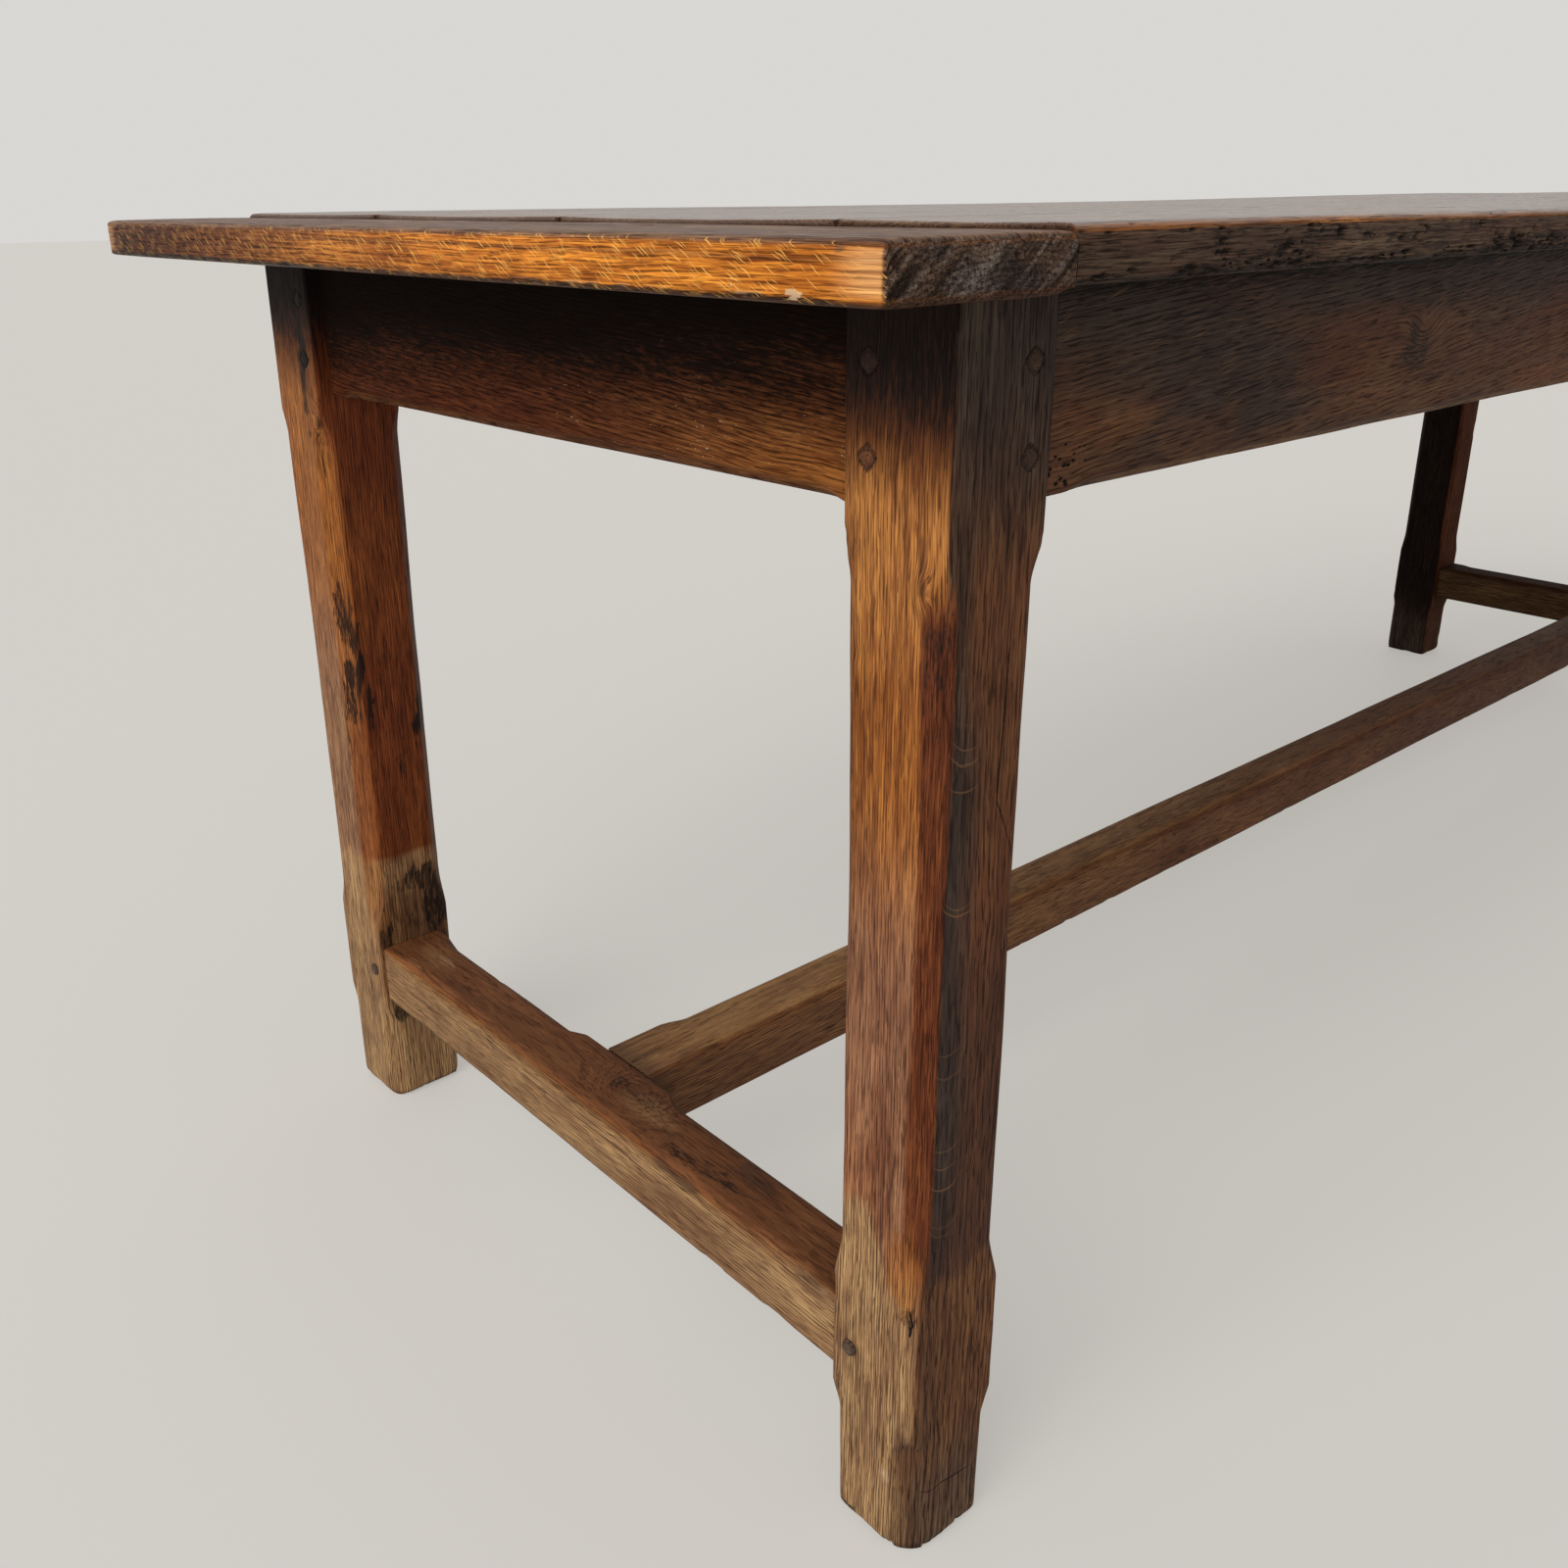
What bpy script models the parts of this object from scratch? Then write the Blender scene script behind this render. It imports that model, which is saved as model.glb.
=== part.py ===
"""Farmhouse table with breadboard ends, built the way a joiner builds it.

Four square legs with stopped chamfers carry side and end aprons on pegged
mortise-and-tenon joints. Two end stretchers and one centre stretcher form an H
near the floor. Long planks lie over two cross bearers and are tenoned into a
breadboard at each end. Units are metres, +Z is up, +X runs along the table,
and the origin is on the floor under the middle of the top.
"""

import math

import bmesh
import bpy
from mathutils import Matrix, Vector

# Overall sizes
TABLE_HEIGHT = 0.770
FRAME_LENGTH = 2.080
FRAME_WIDTH = 0.714
END_OVERHANG = 0.1005
SIDE_OVERHANG = 0.051

# Fits between pieces
CLEARANCE = 0.0003
MORTISE_END_GAP = 0.001
OVERRUN = 0.004

# Top planks
PLANK_THICKNESS = 0.026
PLANK_WIDTH_SHARES = (0.173, 0.283, 0.279, 0.265)
PLANK_GAP = 0.0016
PLANK_SHRINKAGE = 0.0015
PLANK_TENON_THICKNESS = 0.009
PLANK_TENON_LENGTH = 0.045
PLANK_TENON_SHOULDER = 0.026
PLANK_END_GAP = 0.0012
PLANK_ARRIS = 0.005

# Breadboards
BREADBOARD_WIDTH = 0.1145
BREADBOARD_THICKNESS = 0.026
BREADBOARD_DROP = 0.0035
BREADBOARD_BEVEL_WIDTH = 0.011
BREADBOARD_ARRIS = 0.005
BREADBOARD_PEG_INSET = 0.026
HOUSING_GAP = 0.0006

# Legs
LEG_SIZE = 0.070
LEG_ARRIS = 0.002
LEG_CHAMFER = 0.0095
LEG_STOP = 0.030
APRON_BLOCK_TAIL = 0.008
STRETCHER_BLOCK_ABOVE = 0.016
STRETCHER_BLOCK_BELOW = 0.004
FOOT_ARRIS = 0.004

# Aprons
APRON_THICKNESS = 0.025
SIDE_APRON_HEIGHT = 0.101
END_APRON_HEIGHT = 0.1075
SIDE_APRON_SETBACK = 0.002
END_APRON_SETBACK = 0.0125
APRON_ARRIS = 0.0015
SIDE_APRON_CHAMFER = 0.0055
END_APRON_CHAMFER = 0.0090
APRON_STOP = 0.026
APRON_CHAMFER_INSET = 0.006
APRON_TENON_THICKNESS = 0.010
APRON_TENON_LENGTH = 0.050
APRON_TENON_TOP_SHOULDER = 0.016
APRON_TENON_LOW_SHOULDER = 0.011

# Stretchers
STRETCHER_UNDERSIDE = 0.106
STRETCHER_HEIGHT = 0.053
END_STRETCHER_WIDTH = 0.057
CENTRE_STRETCHER_WIDTH = 0.055
STRETCHER_SETBACK = 0.003
STRETCHER_ARRIS = 0.002
STRETCHER_CHAMFER = 0.0085
STRETCHER_STOP = 0.024
STRETCHER_CHAMFER_INSET = 0.012
CENTRE_JOINT_BLOCK = 0.100
STRETCHER_TENON_THICKNESS = 0.018
STRETCHER_TENON_HEIGHT = 0.034
STRETCHER_TENON_LENGTH = 0.055
CENTRE_TENON_WIDTH = 0.036
CENTRE_TENON_HEIGHT = 0.016
CENTRE_TENON_LENGTH = 0.038

# Cross bearers under the planks
BEARER_WIDTH = 0.060
BEARER_HEIGHT = 0.032
BEARER_PLACE_SHARE = 0.23
BEARER_ARRIS = 0.0015
BEARER_TENON_LENGTH = 0.013
BEARER_TENON_SHOULDER = 0.008

# Pegs
PEG_SIDES = 12
FRAME_PEG_RADIUS = 0.0062
FRAME_PEG_LENGTH = 0.042
FRAME_PEG_FROM_SHOULDER = 0.0155
FRAME_PEG_PROUD = 0.0004
APRON_PEG_FROM_TOP = 0.035
APRON_PEG_SPACING = 0.044
STRETCHER_PEG_LENGTH = 0.056
STRETCHER_PEG_PROUD = 0.0018
CENTRE_PEG_LENGTH = 0.040
TOP_PEG_RADIUS = 0.0055
TOP_PEG_SUNK = 0.0004
BEARER_PEG_DEPTH = 0.024
PEG_TIP_SHARE = 0.86
PEG_TIP_LENGTH = 0.006

# How far other arrises are rounded beside the outer ones of the top
LOW_ARRIS_SHARE = 0.6
INNER_ARRIS_SHARE = 0.25

# Facets and cutters
ARRIS_SEGMENTS = 2
STOP_POINTS = 6
FLAT_ANGLE = math.radians(1)
SMOOTH_ANGLE = math.radians(40)
WELD_DISTANCE = 0.00003
CUTTER_SPAN = 4

# Worked out from the sizes above
FRAME_TOP = TABLE_HEIGHT - PLANK_THICKNESS - CLEARANCE
TOP_LENGTH = FRAME_LENGTH + 2 * END_OVERHANG
TOP_WIDTH = FRAME_WIDTH + 2 * SIDE_OVERHANG
HALF_LENGTH = FRAME_LENGTH / 2
HALF_WIDTH = FRAME_WIDTH / 2
PLANK_UNDERSIDE = TABLE_HEIGHT - PLANK_THICKNESS
BREADBOARD_TOP = TABLE_HEIGHT - BREADBOARD_DROP
BREADBOARD_UNDERSIDE = BREADBOARD_TOP - BREADBOARD_THICKNESS
PLANK_JOINT_X = TOP_LENGTH / 2 - BREADBOARD_WIDTH
PLANK_TENON_Z = (PLANK_UNDERSIDE + BREADBOARD_TOP) / 2
STRETCHER_TOP = STRETCHER_UNDERSIDE + STRETCHER_HEIGHT
STRETCHER_MIDDLE_Z = STRETCHER_UNDERSIDE + STRETCHER_HEIGHT / 2
APRON_PEG_HEIGHTS = (
    FRAME_TOP - APRON_PEG_FROM_TOP,
    FRAME_TOP - APRON_PEG_FROM_TOP - APRON_PEG_SPACING,
)
PEG_FROM_LEG_MIDDLE = LEG_SIZE / 2 - FRAME_PEG_FROM_SHOULDER
BEARER_X = FRAME_LENGTH * BEARER_PLACE_SHARE

OAK_TOP = ("oak_top", (0.30, 0.17, 0.09), 0.35)
OAK_BREADBOARD = ("oak_breadboard", (0.42, 0.19, 0.055), 0.32)
OAK_LEG = ("oak_legs", (0.25, 0.105, 0.04), 0.42)
OAK_APRON = ("oak_aprons", (0.11, 0.05, 0.028), 0.45)
OAK_STRETCHER = ("oak_stretchers", (0.24, 0.14, 0.075), 0.5)
OAK_BEARER = ("oak_bearers", (0.16, 0.10, 0.06), 0.7)
OAK_PEG = ("oak_pegs", (0.10, 0.055, 0.035), 0.5)

SIDES = {"front": -1, "back": 1}
ENDS = {"left": -1, "right": 1}


def clear_scene():
    for old in list(bpy.data.objects):
        bpy.data.objects.remove(old, do_unlink=True)


def new_collection(name, hidden=False):
    collection = bpy.data.collections.new(name)
    bpy.context.scene.collection.children.link(collection)
    collection.hide_render = hidden
    return collection


def oak(look):
    """The material of this name, made on first use."""
    name, colour, roughness = look
    material = bpy.data.materials.get(name)
    if material is None:
        material = bpy.data.materials.new(name)
        material.use_nodes = True
        shader = material.node_tree.nodes["Principled BSDF"]
        shader.inputs["Base Color"].default_value = (*colour, 1.0)
        shader.inputs["Roughness"].default_value = roughness
        shader.inputs["Metallic"].default_value = 0.0
    return material


def add_object(name, mesh, collection, parent=None):
    obj = bpy.data.objects.new(name, mesh)
    collection.objects.link(obj)
    obj.parent = parent
    return obj


def mesh_of(name, bm):
    mesh = bpy.data.meshes.new(name)
    bm.to_mesh(mesh)
    bm.free()
    return mesh


def add_box(bm, low, high):
    """A box between two corners, added to the bmesh."""
    low = Vector(low)
    high = Vector(high)
    place = Matrix.Translation((low + high) / 2)
    size = Matrix.Diagonal((*(high - low), 1.0))
    return bmesh.ops.create_cube(bm, size=1.0, matrix=place @ size)["verts"]


def box_about(centre, size):
    """The two corners of a box given by its centre and its size."""
    centre = Vector(centre)
    half = Vector(size) / 2
    return centre - half, centre + half


def grown(corners, margin):
    low, high = corners
    step = Vector((margin, margin, margin))
    return low - step, high + step


def add_rod(bm, start, direction, length, radius):
    """A faceted rod from a point along a direction."""
    direction = Vector(direction).normalized()
    middle = Vector(start) + direction * (length / 2)
    turn = direction.to_track_quat("Z", "Y").to_matrix().to_4x4()
    return bmesh.ops.create_cone(
        bm,
        cap_ends=True,
        segments=PEG_SIDES,
        radius1=radius,
        radius2=radius,
        depth=length,
        matrix=Matrix.Translation(middle) @ turn,
    )["verts"]


def outline_mesh(name, points, thickness):
    """A flat outline in the XY plane, given a thickness along Z about that plane."""
    curve = bpy.data.curves.new(name, "CURVE")
    curve.dimensions = "2D"
    curve.fill_mode = "BOTH"
    curve.extrude = thickness / 2
    spline = curve.splines.new("POLY")
    spline.points.add(len(points) - 1)
    for spot, (across, up) in zip(spline.points, points):
        spot.co = (across, up, 0.0, 1.0)
    spline.use_cyclic_u = True
    guide = bpy.data.objects.new(name, curve)
    bpy.context.scene.collection.objects.link(guide)
    bpy.context.view_layer.update()
    evaluated = guide.evaluated_get(bpy.context.evaluated_depsgraph_get())
    mesh = bpy.data.meshes.new_from_object(evaluated)
    mesh.name = name
    bpy.data.objects.remove(guide, do_unlink=True)
    bpy.data.curves.remove(curve)
    bm = bmesh.new()
    bm.from_mesh(mesh)
    bmesh.ops.remove_doubles(bm, verts=bm.verts, dist=WELD_DISTANCE)
    bmesh.ops.recalc_face_normals(bm, faces=bm.faces)
    bm.to_mesh(mesh)
    bm.free()
    return mesh


def cut(target, name, mesh, place=None):
    """Takes the mesh away from the target. The cutter rides on the target."""
    cutter = add_object(name, mesh, CUTTERS, parent=target)
    if place is not None:
        cutter.matrix_basis = place
    cutter.hide_render = True
    cutter.display_type = "WIRE"
    modifier = target.modifiers.new(name, "BOOLEAN")
    modifier.operation = "DIFFERENCE"
    modifier.solver = "EXACT"
    modifier.object = cutter


def cut_box(target, name, corners):
    bm = bmesh.new()
    add_box(bm, *corners)
    cut(target, name, mesh_of(name, bm))


def cut_bores(target, name, bores, radius):
    """Peg holes. Each is a start point, a direction and a depth."""
    bm = bmesh.new()
    for start, direction, depth in bores:
        start = Vector(start) - Vector(direction) * OVERRUN
        add_rod(bm, start, direction, depth + OVERRUN, radius + CLEARANCE)
    cut(target, name, mesh_of(name, bm))


def stop_curve(start, end, depth):
    """Points of a lamb's tongue: the cut goes from the surface to its depth."""
    points = []
    for step in range(STOP_POINTS + 1):
        share = step / STOP_POINTS
        sink = depth * (1 - math.cos(math.pi * share)) / 2
        points.append((start + (end - start) * share, sink))
    return points


def chamfer_outline(runs, stop, width):
    """The lengthwise outline of a stopped chamfer, along X, sinking towards +Y.

    A run is (start, end, stopped at start, stopped at end). An end without a
    stop runs out past the piece.
    """
    depth = width / math.sqrt(2)
    points = [(runs[0][0], -width)]
    for start, end, first_stop, last_stop in runs:
        if first_stop:
            points += [(start, -width)] + stop_curve(start, start + stop, depth)
        else:
            points.append((start, depth))
        if last_stop:
            points += stop_curve(end, end - stop, depth)[::-1] + [(end, -width)]
        else:
            points.append((end, depth))
    points.append((runs[-1][1], -width))
    kept = []
    for point in points:
        if not kept or (Vector(point) - Vector(kept[-1])).length > WELD_DISTANCE:
            kept.append(point)
    return kept


def frame_of(origin, along, inward):
    """A matrix that sends X along a piece's arris and Y into its wood."""
    along = Vector(along).normalized()
    inward = Vector(inward).normalized()
    across = along.cross(inward)
    turn = Matrix((along, inward, across)).transposed().to_4x4()
    return Matrix.Translation(Vector(origin)) @ turn


def cut_chamfer(target, name, runs, stop, width, origin, along, inward):
    """One stopped chamfer on the arris through the origin."""
    mesh = outline_mesh(name, chamfer_outline(runs, stop, width), CUTTER_SPAN * width)
    cut(target, name, mesh, frame_of(origin, along, inward))


def weigh_edges(bm, weight_of):
    """Sets how far the arris of each edge is rounded, from 0 to 1."""
    layer = bm.edges.layers.float.get("bevel_weight_edge")
    if layer is None:
        layer = bm.edges.layers.float.new("bevel_weight_edge")
    for edge in bm.edges:
        first, second = (vert.co for vert in edge.verts)
        edge[layer] = weight_of((first + second) / 2, (second - first).normalized())


def round_arrises(obj, width):
    modifier = obj.modifiers.new("worn_arrises", "BEVEL")
    modifier.limit_method = "WEIGHT"
    modifier.width = width
    modifier.segments = ARRIS_SEGMENTS
    modifier.profile = 0.5
    modifier.use_clamp_overlap = True


def draw_out_tenon(bm, end, low, high, length):
    """Draws a tenon out of the end face at +X (end 1) or -X (end -1).

    low and high are its (Y, Z) corners. The face around it stays as shoulders.
    """
    face = max(bm.faces, key=lambda f: f.calc_center_median().x * end)
    face = bmesh.ops.extrude_discrete_faces(bm, faces=[face])["faces"][0]
    middle = face.calc_center_median()
    for vert in face.verts:
        vert.co.y = low[0] if vert.co.y < middle.y else high[0]
        vert.co.z = low[1] if vert.co.z < middle.z else high[1]
    face = bmesh.ops.extrude_discrete_faces(bm, faces=[face])["faces"][0]
    bmesh.ops.translate(bm, verts=face.verts, vec=(end * length, 0.0, 0.0))


def board_mesh(name, size, tenon_low, tenon_high, tenon_length, weight_of):
    """A board along X about the origin, with a like tenon at each end."""
    bm = bmesh.new()
    add_box(bm, *box_about((0.0, 0.0, 0.0), size))
    weigh_edges(bm, weight_of)
    for end in (-1, 1):
        draw_out_tenon(bm, end, tenon_low, tenon_high, tenon_length)
    bmesh.ops.recalc_face_normals(bm, faces=bm.faces)
    return mesh_of(name, bm)


def add_piece(name, mesh, look, location, turn=0.0):
    """A visible piece of the table, placed by its location and turn about Z."""
    obj = add_object(name, mesh, TABLE, parent=ROOT)
    obj.location = location
    obj.rotation_euler = (0.0, 0.0, turn)
    if not mesh.materials:
        mesh.materials.append(oak(look))
    return obj


def long_arris(middle, direction):
    """Rounds every edge that runs along the board."""
    return 1.0 if abs(direction.x) > abs(direction.y) + abs(direction.z) else 0.0


def low_long_arris(middle, direction):
    return long_arris(middle, direction) if middle.z < 0 else 0.0


def leg_chamfer_runs():
    """Where a leg's corners are chamfered, as heights above the floor."""
    upper_stop = FRAME_TOP - END_APRON_HEIGHT - APRON_BLOCK_TAIL
    return [
        (-OVERRUN, STRETCHER_UNDERSIDE - STRETCHER_BLOCK_BELOW, False, True),
        (STRETCHER_TOP + STRETCHER_BLOCK_ABOVE, upper_stop, True, True),
    ]


def make_leg(side, end):
    """A square leg, its origin on the floor at the middle of the leg."""
    name = f"leg_{side}_{end}"
    out_x = ENDS[end]
    out_y = SIDES[side]
    half = LEG_SIZE / 2
    bm = bmesh.new()
    add_box(bm, (-half, -half, 0.0), (half, half, FRAME_TOP))
    sharp_share = LEG_ARRIS / FOOT_ARRIS

    def weight(middle, direction):
        if abs(direction.z) > abs(direction.x) + abs(direction.y):
            return sharp_share
        return 1.0 if middle.z < half else 0.0

    weigh_edges(bm, weight)
    centre = (out_x * (HALF_LENGTH - half), out_y * (HALF_WIDTH - half), 0.0)
    leg = add_piece(name, mesh_of(name, bm), OAK_LEG, centre)
    round_arrises(leg, FOOT_ARRIS)

    for number, (x, y) in enumerate(((-1, -1), (1, -1), (1, 1), (-1, 1)), 1):
        cut_chamfer(
            leg,
            f"{name}_chamfer_{number}",
            leg_chamfer_runs(),
            LEG_STOP,
            LEG_CHAMFER,
            origin=(x * half, y * half, 0.0),
            along=(0.0, 0.0, 1.0),
            inward=(-x, -y, 0.0),
        )

    side_y = out_y * (half - SIDE_APRON_SETBACK - APRON_THICKNESS / 2)
    end_x = out_x * (half - END_APRON_SETBACK - APRON_THICKNESS / 2)
    stretcher_x = out_x * (half - STRETCHER_SETBACK - END_STRETCHER_WIDTH / 2)
    apron_tenon = (APRON_TENON_THICKNESS, APRON_TENON_LENGTH)
    stretcher_tenon = (STRETCHER_TENON_THICKNESS, STRETCHER_TENON_LENGTH)
    side_heights = apron_tenon_heights(SIDE_APRON_HEIGHT)
    end_heights = apron_tenon_heights(END_APRON_HEIGHT)
    cut_mortise(leg, f"{name}_side_mortise", "x", -out_x, side_y, side_heights, apron_tenon)
    cut_mortise(leg, f"{name}_end_mortise", "y", -out_y, end_x, end_heights, apron_tenon)
    cut_mortise(
        leg,
        f"{name}_stretcher_mortise",
        "y",
        -out_y,
        stretcher_x,
        stretcher_tenon_heights(),
        stretcher_tenon,
    )

    inward_x = (-out_x, 0.0, 0.0)
    inward_y = (0.0, -out_y, 0.0)
    peg_x = -out_x * PEG_FROM_LEG_MIDDLE
    peg_y = -out_y * PEG_FROM_LEG_MIDDLE
    bores = [((out_x * half, peg_y, STRETCHER_MIDDLE_Z), inward_x, STRETCHER_PEG_LENGTH)]
    for height in APRON_PEG_HEIGHTS:
        bores.append(((peg_x, out_y * half, height), inward_y, FRAME_PEG_LENGTH))
        bores.append(((out_x * half, peg_y, height), inward_x, FRAME_PEG_LENGTH))
    cut_bores(leg, f"{name}_peg_bores", bores, FRAME_PEG_RADIUS)


def apron_tenon_heights(apron_height):
    """The lowest and highest point of an apron's tenon above the floor."""
    return (
        FRAME_TOP - apron_height + APRON_TENON_LOW_SHOULDER,
        FRAME_TOP - APRON_TENON_TOP_SHOULDER,
    )


def stretcher_tenon_heights():
    return (
        STRETCHER_MIDDLE_Z - STRETCHER_TENON_HEIGHT / 2,
        STRETCHER_MIDDLE_Z + STRETCHER_TENON_HEIGHT / 2,
    )


def cut_mortise(leg, name, axis, facing, middle, heights, tenon):
    """A mortise in a leg, opening on the face that looks along axis by facing."""
    thickness, length = tenon
    half = LEG_SIZE / 2
    bottom = facing * (half - length - MORTISE_END_GAP)
    mouth = facing * (half + OVERRUN)
    reach = sorted((bottom, mouth))
    across = (middle - thickness / 2 - CLEARANCE, middle + thickness / 2 + CLEARANCE)
    low_z = heights[0] - CLEARANCE
    high_z = heights[1] + CLEARANCE
    if axis == "x":
        corners = ((reach[0], across[0], low_z), (reach[1], across[1], high_z))
    else:
        corners = ((across[0], reach[0], low_z), (across[1], reach[1], high_z))
    cut_box(leg, name, corners)


def rail_tenon_bores(half_length, start_y, heights, depth):
    """Bores across both tenons of a rail, in the rail's own frame."""
    reach = half_length + CLEARANCE + FRAME_PEG_FROM_SHOULDER
    bores = []
    for end in (-1, 1):
        for height in heights:
            bores.append(((end * reach, start_y, height), (0.0, 1.0, 0.0), depth))
    return bores


def make_apron(name, span, height, chamfer, location, turn):
    """An apron along its own X, its outer face towards its own -Y."""
    length = span - 2 * LEG_SIZE - 2 * CLEARANCE
    middle_z = FRAME_TOP - height / 2
    low, high = apron_tenon_heights(height)
    half_tenon = APRON_TENON_THICKNESS / 2
    mesh = board_mesh(
        name,
        (length, APRON_THICKNESS, height),
        (-half_tenon, low - middle_z),
        (half_tenon, high - middle_z),
        APRON_TENON_LENGTH,
        long_arris,
    )
    apron = add_piece(name, mesh, OAK_APRON, (*location, middle_z), turn)
    round_arrises(apron, APRON_ARRIS)
    reach = length / 2 - APRON_CHAMFER_INSET
    cut_chamfer(
        apron,
        f"{name}_chamfer",
        [(-reach, reach, True, True)],
        APRON_STOP,
        chamfer,
        origin=(0.0, -APRON_THICKNESS / 2, -height / 2),
        along=(1.0, 0.0, 0.0),
        inward=(0.0, 1.0, 1.0),
    )
    heights = [z - middle_z for z in APRON_PEG_HEIGHTS]
    bores = rail_tenon_bores(length / 2, -APRON_THICKNESS / 2, heights, APRON_THICKNESS)
    cut_bores(apron, f"{name}_tenon_bores", bores, FRAME_PEG_RADIUS)
    return apron


def make_side_apron(side):
    sign = SIDES[side]
    y = sign * (HALF_WIDTH - SIDE_APRON_SETBACK - APRON_THICKNESS / 2)
    turn = 0.0 if sign < 0 else math.pi
    size = (FRAME_LENGTH, SIDE_APRON_HEIGHT, SIDE_APRON_CHAMFER)
    apron = make_apron(f"side_apron_{side}", *size, (0.0, y), turn)
    slots_z = FRAME_TOP - BEARER_HEIGHT / 2 - apron.location.z
    for end in (-1, 1):
        place = (end * BEARER_X, APRON_THICKNESS / 2, slots_z)
        width = BEARER_WIDTH - 2 * BEARER_TENON_SHOULDER
        tenon = (width, 2 * BEARER_TENON_LENGTH, bearer_tenon_height())
        low, high = grown(box_about(place, tenon), CLEARANCE)
        low.y -= MORTISE_END_GAP
        cut_box(apron, f"side_apron_{side}_bearer_mortise_{end + 1}", (low, high))


def make_end_apron(end):
    sign = ENDS[end]
    x = sign * (HALF_LENGTH - END_APRON_SETBACK - APRON_THICKNESS / 2)
    turn = sign * math.pi / 2
    size = (FRAME_WIDTH, END_APRON_HEIGHT, END_APRON_CHAMFER)
    make_apron(f"end_apron_{end}", *size, (x, 0.0), turn)


def chamfer_stretcher(obj, facing, runs, width):
    """Stopped chamfers along the upper arris on the side that faces -Y or +Y."""
    cut_chamfer(
        obj,
        f"{obj.name}_chamfer_{facing + 1}",
        runs,
        STRETCHER_STOP,
        STRETCHER_CHAMFER,
        origin=(0.0, facing * width / 2, STRETCHER_HEIGHT / 2),
        along=(1.0, 0.0, 0.0),
        inward=(0.0, -facing, -1.0),
    )


def make_end_stretcher(end):
    """A stretcher across one end, with a mortise for the centre stretcher."""
    name = f"end_stretcher_{end}"
    sign = ENDS[end]
    length = FRAME_WIDTH - 2 * LEG_SIZE - 2 * CLEARANCE
    half_tenon = STRETCHER_TENON_THICKNESS / 2
    half_height = STRETCHER_TENON_HEIGHT / 2
    mesh = board_mesh(
        name,
        (length, END_STRETCHER_WIDTH, STRETCHER_HEIGHT),
        (-half_tenon, -half_height),
        (half_tenon, half_height),
        STRETCHER_TENON_LENGTH,
        long_arris,
    )
    x = sign * (HALF_LENGTH - STRETCHER_SETBACK - END_STRETCHER_WIDTH / 2)
    stretcher = add_piece(name, mesh, OAK_STRETCHER, (x, 0.0, STRETCHER_MIDDLE_Z), sign * math.pi / 2)
    round_arrises(stretcher, STRETCHER_ARRIS)
    reach = length / 2 - STRETCHER_CHAMFER_INSET
    block = CENTRE_JOINT_BLOCK / 2
    outer = [(-reach, reach, True, True)]
    inner = [(-reach, -block, True, True), (block, reach, True, True)]
    chamfer_stretcher(stretcher, -1, outer, END_STRETCHER_WIDTH)
    chamfer_stretcher(stretcher, 1, inner, END_STRETCHER_WIDTH)
    bottom = END_STRETCHER_WIDTH / 2 - CENTRE_TENON_LENGTH - MORTISE_END_GAP
    half_width = CENTRE_TENON_WIDTH / 2 + CLEARANCE
    half_rise = CENTRE_TENON_HEIGHT / 2 + CLEARANCE
    mouth = END_STRETCHER_WIDTH / 2 + OVERRUN
    corners = ((-half_width, bottom, -half_rise), (half_width, mouth, half_rise))
    cut_box(stretcher, f"{name}_centre_mortise", corners)
    bores = rail_tenon_bores(length / 2, -END_STRETCHER_WIDTH / 2, [0.0], END_STRETCHER_WIDTH)
    peg_y = END_STRETCHER_WIDTH / 2 - FRAME_PEG_FROM_SHOULDER
    bores.append(((0.0, peg_y, -STRETCHER_HEIGHT / 2), (0.0, 0.0, 1.0), CENTRE_PEG_LENGTH))
    cut_bores(stretcher, f"{name}_peg_bores", bores, FRAME_PEG_RADIUS)


def centre_shoulder_x():
    """Where the centre stretcher's shoulder meets the end stretcher."""
    return HALF_LENGTH - STRETCHER_SETBACK - END_STRETCHER_WIDTH - CLEARANCE


def make_centre_stretcher():
    name = "centre_stretcher"
    length = 2 * centre_shoulder_x()
    half_width = CENTRE_TENON_WIDTH / 2
    half_rise = CENTRE_TENON_HEIGHT / 2
    mesh = board_mesh(
        name,
        (length, CENTRE_STRETCHER_WIDTH, STRETCHER_HEIGHT),
        (-half_width, -half_rise),
        (half_width, half_rise),
        CENTRE_TENON_LENGTH,
        long_arris,
    )
    stretcher = add_piece(name, mesh, OAK_STRETCHER, (0.0, 0.0, STRETCHER_MIDDLE_Z))
    round_arrises(stretcher, STRETCHER_ARRIS)
    reach = length / 2 - CENTRE_JOINT_BLOCK / 2
    for facing in (-1, 1):
        chamfer_stretcher(stretcher, facing, [(-reach, reach, True, True)], CENTRE_STRETCHER_WIDTH)
    reach = length / 2 + CLEARANCE + FRAME_PEG_FROM_SHOULDER
    bores = []
    for end in (-1, 1):
        start = (end * reach, 0.0, -STRETCHER_HEIGHT / 2)
        bores.append((start, (0.0, 0.0, 1.0), STRETCHER_HEIGHT))
    cut_bores(stretcher, f"{name}_tenon_bores", bores, FRAME_PEG_RADIUS)


def bearer_tenon_height():
    return BEARER_HEIGHT - 2 * BEARER_TENON_SHOULDER


def bearer_shoulder_y():
    """Where a bearer's shoulder meets the inner face of a side apron."""
    return HALF_WIDTH - SIDE_APRON_SETBACK - APRON_THICKNESS - CLEARANCE


def bearer_peg_y(front, back):
    """The middle of the stretch where a plank lies over the bearers."""
    reach = bearer_shoulder_y()
    return (max(front, -reach) + min(back, reach)) / 2


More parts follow.
